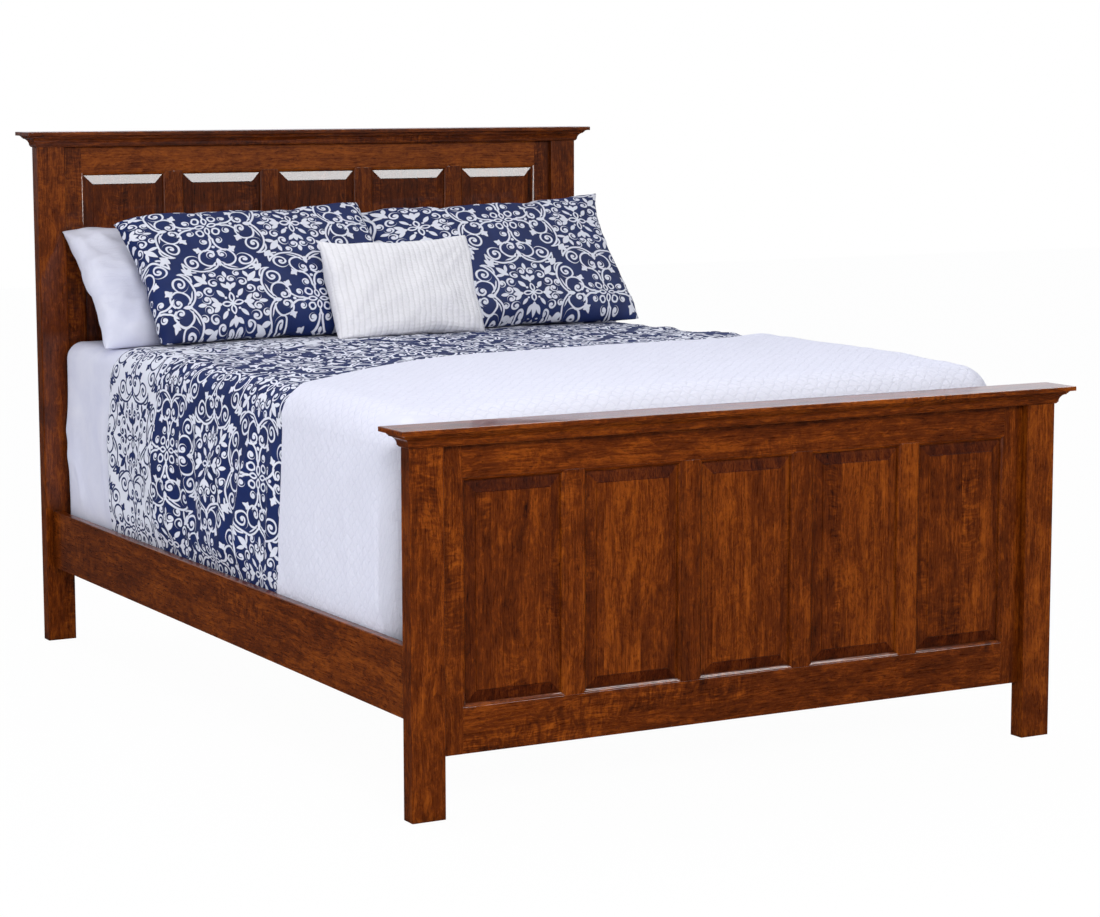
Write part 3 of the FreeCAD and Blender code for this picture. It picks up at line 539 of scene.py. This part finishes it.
def damask(name, turned_at=None):
    """Generic scroll damask on a diamond lattice, white on navy. Past turned_at along the
    cloth it shows its reverse, navy on white."""
    g = Graph(name)
    place = cloth_place(g)
    wave = g.add("ShaderNodeTexNoise", Vector=place, Scale=26.0, Detail=1.0)
    drift = g.scaled(g.vector("SUBTRACT", wave.outputs["Color"], (0.5, 0.5, 0.5)),
                     (0.006, 0.006, 0.0))
    x, y, _ = g.split(g.vector("ADD", place, drift))
    x = g.math("PINGPONG", x, CELL.x)
    y = g.math("PINGPONG", y, CELL.y)
    past = g.math("GREATER_THAN", g.math("ADD", g.math("DIVIDE", x, CELL.x),
                                         g.math("DIVIDE", y, CELL.y)), 1.0)
    corner = g.scaled(g.join(past, past), (CELL.x, CELL.y, 0.0))
    m = Motif(g, g.vector("ABSOLUTE", g.vector("SUBTRACT", corner, g.join(x, y))))
    draw_axis(m, False)
    draw_axis(m, True)
    draw_corner(m)
    drawn = g.ramp(m.nearest, -0.0008, 0.0004, 1.0, 0.0)
    if turned_at is not None:
        across_bed, along_bed, _ = g.split(place)
        line = g.math("MAXIMUM", turned_at, g.math("ADD", g.math("MULTIPLY", g.math(
            "ADD", across_bed, 0.28), 0.37), 0.40))
        turned = g.math("GREATER_THAN", along_bed, line)
        drawn = g.math("ABSOLUTE", g.math("SUBTRACT", drawn, turned))
    soft = g.noise(place, 8.0, 4.0, 0.6, 0.6)
    ground = g.mix(g.ramp(soft, 0.3, 0.7), linear(20, 34, 80), linear(29, 46, 99))
    colour = g.mix(drawn, ground, LINEN_WHITE)
    crease = g.noise(g.scaled(place, (3.0, 1.0, 1.0)), 9.0, 3.0, 0.6, 1.0)
    normal = g.bump(g.math("ADD", soft, g.math("MULTIPLY", crease, 0.5)), 0.006, 0.6)
    normal = weave(g, place, 4600.0, 0.0001, normal)
    return g.finish(colour, 0.8, normal, Specular_IOR_Level=0.15)


# ---------------------------------------------------------------- mesh helpers

def make_piece(name, points, faces, uvs, material, body):
    """Mesh object with flat cloth coordinates, riding on a body."""
    mesh = bpy.data.meshes.new(name)
    mesh.from_pydata([tuple(p) for p in points], [], faces)
    layer = mesh.uv_layers.new(name="cloth")
    loops = np.zeros(len(mesh.loops), np.int32)
    mesh.loops.foreach_get("vertex_index", loops)
    layer.data.foreach_set("uv", np.asarray(uvs, float)[loops].ravel())
    mesh.shade_smooth()
    mesh.materials.append(material)
    thing = bpy.data.objects.new(name, mesh)
    bpy.context.scene.collection.objects.link(thing)
    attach(thing, body)
    return thing


def rippled(points, scale, seed):
    """Smooth noise in -1..1 at points, an N x 3 array."""
    offset = Vector((seed * 3.7, seed * 1.9, seed * 5.3))
    return np.array([noise.noise(Vector(p) * scale + offset) for p in points])


def eased(value, low, high):
    share = np.clip((value - low) / (high - low), 0, 1)
    return share * share * (3 - 2 * share)


def thicken(thing, amount):
    """Gives cloth its thickness, inwards."""
    solid = thing.modifiers.new("thickness", "SOLIDIFY")
    solid.thickness = amount
    solid.offset = -1
    solid.use_even_offset = False


def smooth_more(thing):
    subdivision = thing.modifiers.new("smooth", "SUBSURF")
    subdivision.levels = 1
    subdivision.render_levels = 1


# ---------------------------------------------------------------- covers on the bed

CORNER_TURNS = 8
SHEET_SHOULDER, DUVET_SHOULDER, QUILT_SHOULDER = 0.045, 0.070, 0.082
SHEET_THICK, COVER_THICK = 0.0012, 0.004
SHEET_STEP, COVER_STEP = 0.013, 0.0125


class Cover:
    """Cloth over the mattress: a flat top with rounded shoulders, hanging at both sides,
    at the foot and, where it is fitted, at the head. Each point keeps its place on the
    flat cloth."""

    def __init__(self, node, head, radius, step, fitted=False):
        low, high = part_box(node)
        self.half, self.foot, self.head = high.x, low.y, head
        self.bottom, self.top, self.radius = low.z, high.z, radius
        self.fitted = fitted
        self.build(step)

    def corner(self, index, start):
        """Rim points that fan round one corner, from a given heading."""
        angles = [start + math.pi / 2 * k / CORNER_TURNS for k in range(1, CORNER_TURNS)]
        return [(index, (math.cos(angle), math.sin(angle))) for angle in angles]

    def build(self, step):
        core = self.half - self.radius
        columns = round(core * 2 / step) + 1
        rows = round((self.head - self.foot) / step) + 1
        grid = [(x, share, 0.0, 0.0, 0.0) for share in np.linspace(1, 0, rows)
                for x in np.linspace(-core, core, columns)]
        faces = [(r * columns + c, (r + 1) * columns + c, (r + 1) * columns + c + 1,
                  r * columns + c + 1) for r in range(rows - 1) for c in range(columns - 1)]
        last = rows * columns - 1
        rim = [(r * columns, (-1.0, 0.0)) for r in range(rows)]
        rim += self.corner(last - columns + 1, math.pi)
        rim += [(last - columns + 1 + c, (0.0, -1.0)) for c in range(columns)]
        rim += self.corner(last, math.pi * 1.5)
        rim += [(r * columns + columns - 1, (1.0, 0.0)) for r in reversed(range(rows))]
        if self.fitted:
            rim += self.corner(columns - 1, 0.0)
            rim += [(c, (0.0, 1.0)) for c in reversed(range(columns))]
            rim += self.corner(0, math.pi / 2)
            rim.append(rim[0])
        bend = self.radius * math.pi / 2
        hang = self.top - self.radius - self.bottom
        levels = list(np.linspace(0, bend, round(bend / step * 1.3) + 1)[1:])
        levels += list(np.linspace(bend, bend + hang, round(hang / step) + 1)[1:])
        rings = [[start for start, way in rim]]
        for level in levels:
            ring = []
            for start, way in rim:
                ring.append(len(grid))
                grid.append(grid[start][:2] + way + (level,))
            if self.fitted:
                grid.pop()
                ring[-1] = ring[0]
            rings.append(ring)
        for inner, outer in zip(rings, rings[1:]):
            for k in range(len(rim) - 1):
                face = (inner[k], outer[k], outer[k + 1], inner[k + 1])
                faces.append(tuple(dict.fromkeys(face)))
        self.data = np.array(grid)
        self.faces = faces

    def shape(self, top_at, edge_at, fold):
        """Points and flat coordinates. top_at(x, y) is the height on the mattress,
        edge_at(u) the place of the head edge, and fold(points, flat, drop) how far a
        hanging point stands out."""
        x, share, way_x, way_y, level = self.data.T
        u = x + way_x * level
        core_foot = self.foot + self.radius
        edge = edge_at(u) - (self.radius if self.fitted else 0.0)
        y = core_foot + share * (edge - core_foot)
        flat = np.stack([u, y + way_y * level], 1)
        bend = np.clip(level / self.radius, 0, math.pi / 2)
        out = self.radius * np.sin(bend)
        drop = self.radius * (1 - np.cos(bend)) + np.clip(
            level - self.radius * math.pi / 2, 0, None)
        high = top_at(x, y)
        share_down = np.clip(drop / (self.top - self.bottom), 0, 1)
        height = high - drop - (high - self.top) * share_down
        points = np.stack([x + way_x * out, y + way_y * out, height], 1)
        extra = fold(points, flat, drop)
        points[:, 0] += way_x * extra
        points[:, 1] += way_y * extra
        return points, flat


RAIL_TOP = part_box("side_rail_left")[1].z
SHEET_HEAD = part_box("sheet")[1].y
DUVET_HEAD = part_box("duvet")[1].y
DUVET_HEIGHT = 0.8225
QUILT_HEIGHT = 0.8465
QUILT_HEAD = -0.1
DUVET_TURNED_AT = 0.34
# the quilt's head edge, which wanders as in the photo: y at each u across the cloth
QUILT_EDGE_U = (-1.30, -1.00, -0.84, -0.73, -0.62, -0.50, -0.34, -0.18, 0.06, 0.34, 0.55,
                0.69, 0.90, 1.30)
QUILT_EDGE_Y = (-0.345, -0.375, -0.395, -0.385, -0.315, -0.250, -0.212, -0.198, -0.180,
                -0.172, -0.145, -0.085, -0.060, -0.060)


def quilt_edge(u):
    return np.interp(u, QUILT_EDGE_U, QUILT_EDGE_Y)


def quilt_top(x, y):
    """Height of the quilted part of the bed, fullest in the middle."""
    return QUILT_HEIGHT - 0.026 * eased(-x, 0.15, 0.72) - 0.011 * eased(-y, 0.55, 1.0)


def freed(points):
    """0 where a cloth goes down between mattress and side rail, 1 well above."""
    return eased(points[:, 2], RAIL_TOP + 0.004, RAIL_TOP + 0.07)


def hanging(flat, points, down):
    """Coordinates that stretch noise into folds that run down."""
    return np.stack([flat[:, 1], flat[:, 0] * 0.02, points[:, 2] * down], 1)


def on_top(x, y, stretch=1.0):
    return np.stack([x, y * stretch, np.zeros_like(x)], 1)


def creases(points, scale, seed):
    """Sharp ridges, 0 to 1."""
    return (1 - np.abs(rippled(points, scale, seed)) * 1.6).clip(0, 1) ** 4


def make_sheet():
    """A fitted sheet with soft upright folds at the sides."""
    cover = Cover("sheet", SHEET_HEAD, SHEET_SHOULDER, SHEET_STEP, fitted=True)

    def top_at(x, y):
        return cover.top - 0.0015 + rippled(on_top(x, y), 6.0, 1) * 0.0012

    def fold(points, flat, drop):
        line = hanging(flat, points, 0.3)
        wave = rippled(line, 9.0, 2) * 0.005 + creases(line, 7.0, 3) * 0.010 - 0.001
        bare = eased(flat[:, 1], DUVET_HEAD - 0.03, DUVET_HEAD + 0.02)
        return wave * eased(drop, 0.02, 0.16) * freed(points) * bare

    points, flat = cover.shape(top_at, lambda u: np.full_like(u, cover.head), fold)
    thing = make_piece("bed_sheet", points, cover.faces, flat, white_cotton_finish,
                       "mattress_set")
    thicken(thing, SHEET_THICK)
    smooth_more(thing)
    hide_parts("sheet")
    return thing


def make_duvet():
    """The patterned duvet: flattened under the quilt, rumpled where it shows, and rolled
    down to the sheet at its head edge."""
    cover = Cover("duvet", DUVET_HEAD, DUVET_SHOULDER, COVER_STEP)

    def rolled(v):
        return 1 - eased(DUVET_HEAD - v, 0.0, 0.05)

    def top_at(x, y):
        covered = quilt_top(x, y) - 0.009
        bare = DUVET_HEIGHT - 0.006 * eased(-x, 0.3, 0.7)
        waves = rippled(on_top(x, y, 2.0), 4.0, 5) * 0.006 + creases(
            on_top(x, y, 2.6), 5.0, 6) * 0.007
        shown = eased(y - quilt_edge(x), 0.0, 0.05) * (1 - 0.8 * eased(y, 0.48, 0.56))
        high = covered + (bare - covered) * eased(y, -0.25, 0.42) + shown * waves
        return high - rolled(y) * 0.010

    def fold(points, flat, drop):
        line = hanging(flat, points, 0.35)
        wave = (rippled(line, 8.0, 7) + 0.35).clip(0) * 0.022 + creases(line, 8.0, 8) * 0.018
        shown = eased(flat[:, 1] - quilt_edge(flat[:, 0]), 0.0, 0.08)
        wave = wave * (1 - 0.7 * eased(flat[:, 1], 0.40, 0.62))
        out = (wave + 0.001) * eased(drop, 0.04, 0.25) * shown
        return (out - rolled(flat[:, 1]) * 0.003) * freed(points)

    points, flat = cover.shape(top_at, lambda u: np.full_like(u, DUVET_HEAD), fold)
    thing = make_piece("duvet_cover", points, cover.faces, flat, duvet_finish,
                       "mattress_set")
    thicken(thing, COVER_THICK)
    smooth_more(thing)
    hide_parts("duvet")
    return thing


def make_quilt():
    """The quilt over the foot half of the bed."""
    cover = Cover("quilt", QUILT_HEAD, QUILT_SHOULDER, COVER_STEP)

    def top_at(x, y):
        waves = rippled(on_top(x, y, 1.8), 4.5, 9) * 0.002 + creases(
            on_top(x, y, 2.2), 3.5, 12) * 0.0025
        return quilt_top(x, y) + waves

    def fold(points, flat, drop):
        line = hanging(flat, points, 0.3)
        wave = rippled(line, 4.0, 10) * 0.008 + creases(line, 5.0, 11) * 0.005
        return (wave + 0.002) * eased(drop, 0.05, 0.3) * freed(points)

    points, flat = cover.shape(top_at, quilt_edge, fold)
    thing = make_piece("white_quilt", points, cover.faces, flat, quilt_finish,
                       "mattress_set")
    thicken(thing, COVER_THICK)
    smooth_more(thing)
    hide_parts("quilt")
    return thing


white_cotton_finish = white_cotton()
quilt_finish = quilted_cotton()
duvet_finish = damask("damask_duvet", turned_at=DUVET_TURNED_AT)
sham_finish = damask("damask_sham")
throw_finish = ribbed_cotton()
ticking_finish = ticking()

bed_sheet = make_sheet()
duvet_cover = make_duvet()
white_quilt = make_quilt()


# ---------------------------------------------------------------- mattress and box spring

def make_block(name, node, corner, edge):
    """Upholstered block, rounded in plan and along its top and bottom edges, a little
    inside its solid to leave the covers their folds."""
    low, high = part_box(node)
    low += Vector((0.010, 0.010, 0.0))
    high -= Vector((0.010, 0.010, 0.002))
    half_x, half_y = (high.x - low.x) / 2, (high.y - low.y) / 2
    middle_y = (high.y + low.y) / 2
    depth = high.z - low.z
    turns = CORNER_TURNS
    section = [(edge * 2.2, 0.0)]
    for k in range(turns + 1):
        angle = math.pi / 2 * k / turns
        section.append((edge * (1 - math.sin(angle)), edge * (1 - math.cos(angle))))
    section += [(inset, depth - rise) for inset, rise in reversed(section)]
    points = []
    for inset, rise in section:
        reach = max(corner - inset, 0.004)
        far = corner if inset <= corner - 0.004 else inset + 0.004
        for k in range(4 * turns):
            angle = math.pi / 2 * (k // turns + (k % turns) / (turns - 1))
            sign_x = 1 if k // turns in (0, 3) else -1
            sign_y = 1 if k // turns in (0, 1) else -1
            points.append((sign_x * (half_x - far) + math.cos(angle) * reach,
                           middle_y + sign_y * (half_y - far) + math.sin(angle) * reach,
                           low.z + rise))
    count = 4 * turns
    faces = [(level * count + k, level * count + (k + 1) % count,
              (level + 1) * count + (k + 1) % count, (level + 1) * count + k)
             for level in range(len(section) - 1) for k in range(count)]
    faces.append(tuple(reversed(range(count))))
    faces.append(tuple(range((len(section) - 1) * count, len(section) * count)))
    thing = make_piece(name, points, faces, [p[:2] for p in points], ticking_finish,
                       "mattress_set")
    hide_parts(node)
    return thing


make_block("mattress_core", "mattress", 0.060, 0.046)
make_block("box_spring_core", "box_spring", 0.060, 0.015)


# ---------------------------------------------------------------- pillows

SETTLE_FRAMES = 20
PILLOW_STEP = 0.0115


class Stuffed:
    """Pillow sewn from two faces, blown up as cloth and brought to the size of its solid.
    Each move pulls a corner, or an end where the low-high sign is 0: (left-right sign,
    low-high sign, across, up, out, how local it is), in metres. The print's diamond
    centres on print_at."""

    def __init__(self, name, node, size, loft, lean, finish, slot, full=0.42, moves=(),
                 crumple=1.0, print_at=(0.0, 0.0)):
        self.name, self.node, self.loft = name, node, loft
        self.lean = math.radians(lean)
        self.finish, self.slot = finish, slot
        self.full = full
        self.moves = moves
        self.crumple = crumple
        self.print_at = print_at
        self.width, self.height = size
        self.seed = len(name) + ord(name[-1])

    def sewn(self):
        """Two grids that share their rim, already roughly in the pillow's form."""
        columns = round(self.width / PILLOW_STEP) + 1
        rows = round(self.height / PILLOW_STEP) + 1
        s, t = np.meshgrid(np.linspace(-1, 1, columns), np.linspace(-1, 1, rows))
        belly = ((1 - np.abs(s) ** 3.2) * (1 - np.abs(t) ** 2.6)).clip(0, 1) ** self.full
        belly = belly * (1 - 0.14 * t)
        x = s * self.width / 2 * (1 - 0.022 * (1 - t * t))
        y = t * self.height / 2 * (1 - 0.030 * (1 - s * s))
        z = belly * self.loft / 2
        front = np.arange(rows * columns).reshape(rows, columns)
        back = front.copy()
        inner = back[1:-1, 1:-1]
        inner[:] = rows * columns + np.arange(inner.size).reshape(inner.shape)
        flat = np.stack([s * self.width / 2, t * self.height / 2], 2)
        points = np.concatenate([
            np.stack([x, y, z], 2).reshape(-1, 3),
            np.stack([x, y, -z], 2)[1:-1, 1:-1].reshape(-1, 3)])
        flat = np.concatenate([flat.reshape(-1, 2), flat[1:-1, 1:-1].reshape(-1, 2)])
        faces = []
        for r in range(rows - 1):
            for c in range(columns - 1):
                faces.append((front[r, c], front[r, c + 1], front[r + 1, c + 1],
                              front[r + 1, c]))
                faces.append((back[r, c], back[r + 1, c], back[r + 1, c + 1],
                              back[r, c + 1]))
        return points, [tuple(int(i) for i in face) for face in faces], flat

    def blow_up(self, points, faces):
        """Runs the cloth and returns the settled points."""
        mesh = bpy.data.meshes.new("blown")
        mesh.from_pydata([tuple(p) for p in points], [], faces)
        thing = bpy.data.objects.new("blown", mesh)
        bpy.context.scene.collection.objects.link(thing)
        cloth = thing.modifiers.new("cloth", "CLOTH")
        settings = cloth.settings
        settings.quality = 6
        settings.mass = 0.25
        settings.tension_stiffness = 20
        settings.compression_stiffness = 12
        settings.shear_stiffness = 8
        settings.bending_stiffness = 0.08
        settings.air_damping = 2.5
        settings.shrink_min = -0.045
        settings.use_pressure = True
        settings.uniform_pressure_force = 0.9
        settings.effector_weights.gravity = 0
        cloth.point_cache.frame_start = 1
        cloth.point_cache.frame_end = SETTLE_FRAMES
        scene = bpy.context.scene
        for number in range(1, SETTLE_FRAMES + 1):
            scene.frame_set(number)
        shown = thing.evaluated_get(bpy.context.evaluated_depsgraph_get())
        result = np.array([v.co for v in shown.data.vertices], float)
        scene.frame_set(1)
        bpy.data.objects.remove(thing)
        return result

    def wrinkles(self, flat):
        """Puckers that run in from the seams and creases that fan from the corners."""
        half = np.array([self.width, self.height]) / 2
        gap = half - np.abs(flat)
        near = gap.min(1)
        ends = gap[:, 0] < gap[:, 1]
        along = np.where(ends, flat[:, 1], flat[:, 0])
        line = np.stack([along * 3.2, near * 0.7, ends * 2.0 + self.seed], 1)
        pucker = rippled(line, 9.0, self.seed) * np.exp(-near / 0.045)
        result = pucker * 0.009 * eased(near, 0.0, 0.02)
        for side in (-1, 1):
            for end in (-1, 1):
                away = half * (side, end) - flat
                reach = np.hypot(away[:, 0], away[:, 1])
                turn = np.arctan2(np.abs(away[:, 1]), np.abs(away[:, 0]) + 1e-6)
                fan = np.stack([turn * 1.2, reach * 1.5, reach * 0 + side + end * 2], 1)
                ridge = creases(fan, 2.6, self.seed + 7)
                result += ridge * 0.014 * np.exp(-reach / 0.16) * eased(reach, 0.01, 0.06)
        broad = np.stack([flat[:, 0], flat[:, 1] * 1.7, near * 0], 1)
        result += rippled(broad, 7.0, self.seed + 3) * 0.006 * eased(near, 0.0, 0.08)
        result += creases(broad, 5.5, self.seed + 9) * 0.005 * eased(near, 0.0, 0.05)
        return result * self.crumple

    def seam_waver(self, flat):
        """Sideways wander of the cloth near its seams."""
        half = np.array([self.width, self.height]) / 2
        near = (half - np.abs(flat)).min(1)
        place = np.stack([flat[:, 0], flat[:, 1], near * 0], 1)
        wander = np.stack([rippled(place, 9.0, self.seed + 5),
                           rippled(place, 9.0, self.seed + 6), near * 0], 1)
        return wander * (0.011 * np.exp(-near / 0.05))[:, None]

    def make(self, body):
        points, faces, flat = self.sewn()
        settled = self.blow_up(points, faces)
        middle = (settled.max(0) + settled.min(0)) / 2
        size = settled.max(0) - settled.min(0)
        wanted = np.array([self.width, self.height, self.loft])
        settled = (settled - middle) / size * wanted
        share = flat / np.array([self.width, self.height]) * 2
        for side, end, across, up, out, local in self.moves:
            near = (1 + share[:, 0] * side) / 2
            if end:
                near = near * (1 + share[:, 1] * end) / 2
            settled += (near ** local)[:, None] * np.array([across, up, out])
        settled[:, 2] += np.sign(settled[:, 2]) * self.wrinkles(flat)
        settled += self.seam_waver(flat)
        low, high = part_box(self.node)
        turn = Matrix.Translation((low + high) / 2) @ Matrix.Rotation(self.lean, 4, "X")
        placed = np.array([turn @ Vector(p) for p in settled])
        rise = (placed[:, 2] - low.z).clip(0)
        placed[:, 2] = low.z + rise * eased(rise, -0.01, 0.05)
        thing = make_piece(self.name, placed, faces, flat - self.print_at, self.finish,
                           body)
        smooth_more(thing)
        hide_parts(self.node)
        return thing


PILLOW = dict(size=(0.640, 0.440), loft=0.112, lean=40)
SHAM = dict(size=(0.715, 0.455), loft=0.118, lean=46)
THROW = dict(size=(0.440, 0.275), loft=0.092, lean=66)

for side, sign in (("right", 1), ("left", -1)):
    Stuffed(f"bed_pillow_{side}", f"pillow_{side}", finish=white_cotton_finish,
            slot="white_cotton", crumple=1.4,
            moves=[(sign, 1, 0.002 * sign, 0.0, 0.0, 4), (sign, 0, 0.022 * sign, 0.0, 0.0, 4)],
            **PILLOW).make(f"pillow_{side}")
Stuffed("patterned_sham_right", "sham_right", finish=sham_finish, slot="patterned_cotton",
        print_at=(0.014, -0.16),
        moves=[(-1, 0, -0.034, 0.0, -0.028, 5), (-1, 1, -0.012, -0.012, -0.004, 4),
               (1, 1, 0.016, 0.004, 0.006, 4), (1, 1, 0.022, 0.014, 0.0, 14),
               (1, -1, -0.022, 0.012, 0.0, 4), (1, -1, 0.018, -0.004, 0.0, 14)],
        **SHAM).make("sham_right")
Stuffed("patterned_sham_left", "sham_left", finish=sham_finish, slot="patterned_cotton",
        print_at=(-0.144, -0.148),
        moves=[(1, 0, 0.0, 0.0, 0.016, 5), (1, 1, -0.010, -0.010, 0.0, 4),
               (-1, 1, -0.020, -0.042, 0.010, 4), (-1, 1, -0.004, -0.024, 0.0, 16),
               (-1, -1, 0.010, -0.006, 0.0, 4)],
        **SHAM).make("sham_left")
Stuffed("ribbed_throw_pillow", "throw_pillow", finish=throw_finish, slot="ribbed_cotton",
        full=0.46, **THROW).make("throw_pillow")


# ---------------------------------------------------------------- stage and light

FLOOR_HALF = 14.0


def add_floor():
    """White floor that hardly shades, so the sheet of white runs on behind the bed."""
    size = FLOOR_HALF
    mesh = bpy.data.meshes.new("floor")
    mesh.from_pydata([(-size, -size, -0.0005), (size, -size, -0.0005),
                      (size, size, -0.0005), (-size, size, -0.0005)], [], [(0, 1, 2, 3)])
    floor = bpy.data.objects.new("floor", mesh)
    bpy.context.scene.collection.objects.link(floor)
    g = Graph("pale_floor")
    g.finish((0.8, 0.8, 0.8, 1.0), 0.9)
    glow = g.add("ShaderNodeEmission", Color=(1.0, 1.0, 1.0, 1.0), Strength=1.0)
    seen = g.add("ShaderNodeLightPath").outputs["Is Camera Ray"]
    blend = g.add("ShaderNodeMixShader")
    g.feed(blend.inputs[0], g.math("MULTIPLY", seen, 0.975))
    g.feed(blend.inputs[1], g.shader.outputs[0])
    g.feed(blend.inputs[2], glow.outputs[0])
    g.feed(g.tree.nodes["Material Output"].inputs["Surface"], blend.outputs[0])
    mesh.materials.append(g.material)
    floor.visible_glossy = False


class Sky(Graph):
    """The studio round the bed, as a node tree of the world."""

    def __init__(self):
        world = bpy.data.worlds.new("studio")
        world.use_nodes = True
        bpy.context.scene.world = world
        self.tree = world.node_tree


def add_world():
    """Bright wall behind the bed, a soft ceiling, and a dim room in front of it. The
    camera itself sees plain white."""
    g = Sky()
    way = g.place("Generated")
    _, north, up = g.split(way)
    wall = g.math("MULTIPLY", g.ramp(north, 0.0, 0.5), g.ramp(up, -0.02, 0.02))
    ceiling = g.ramp(up, 0.35, 0.9)
    front = g.math("MULTIPLY", g.ramp(north, 0.0, -0.5), g.ramp(up, -0.3, 0.0))
    light = g.math("ADD", g.math("MULTIPLY", wall, 1.2), g.math("MULTIPLY", ceiling, 0.35))
    light = g.math("ADD", light, g.math("MULTIPLY", front, 0.05))
    light = g.math("ADD", light, 0.04)
    lit = g.add("ShaderNodeBackground", Color=(0.91, 0.925, 1.0, 1.0), Strength=light)
    seen = g.add("ShaderNodeBackground", Color=(1.0, 1.0, 1.0, 1.0), Strength=1.0)
    path = g.add("ShaderNodeLightPath")
    blend = g.add("ShaderNodeMixShader")
    g.feed(blend.inputs[0], path.outputs["Is Camera Ray"])
    g.feed(blend.inputs[1], lit.outputs[0])
    g.feed(blend.inputs[2], seen.outputs[0])
    g.feed(g.tree.nodes["World Output"].inputs["Surface"], blend.outputs[0])


def add_light(name, place, target, width, height, power):
    data = bpy.data.lights.new(name, "AREA")
    data.shape = "RECTANGLE"
    data.size = width
    data.size_y = height
    data.energy = power
    lamp = bpy.data.objects.new(name, data)
    bpy.context.scene.collection.objects.link(lamp)
    lamp.location = place
    way = Vector(target) - Vector(place)
    lamp.rotation_euler = way.to_track_quat("-Z", "Y").to_euler()
    return lamp


add_floor()
add_world()
add_light("overhead", (-0.4, 0.4, 3.8), (-0.2, 0.4, 0.6), 3.6, 3.0, 18)
add_light("key", (-1.8, -5.6, 3.0), (0.0, -0.4, 0.6), 2.6, 1.6, 235)
add_light("side_fill", (-4.8, -0.6, 1.9), (0.0, -0.1, 0.5), 2.2, 2.0, 30)
for lamp in (add_light("bevel_glint", (2.25, -3.4, 2.78), (0.8, 0.6, 1.3), 3.2, 0.7, 215),
             add_light("edge_glint", (1.75, -1.42, 3.25), (1.75, -1.37, 0.8), 2.8, 0.8, 300)):
    lamp.visible_diffuse = False

scene = bpy.context.scene
scene.view_settings.view_transform = "Standard"
scene.view_settings.look = "None"
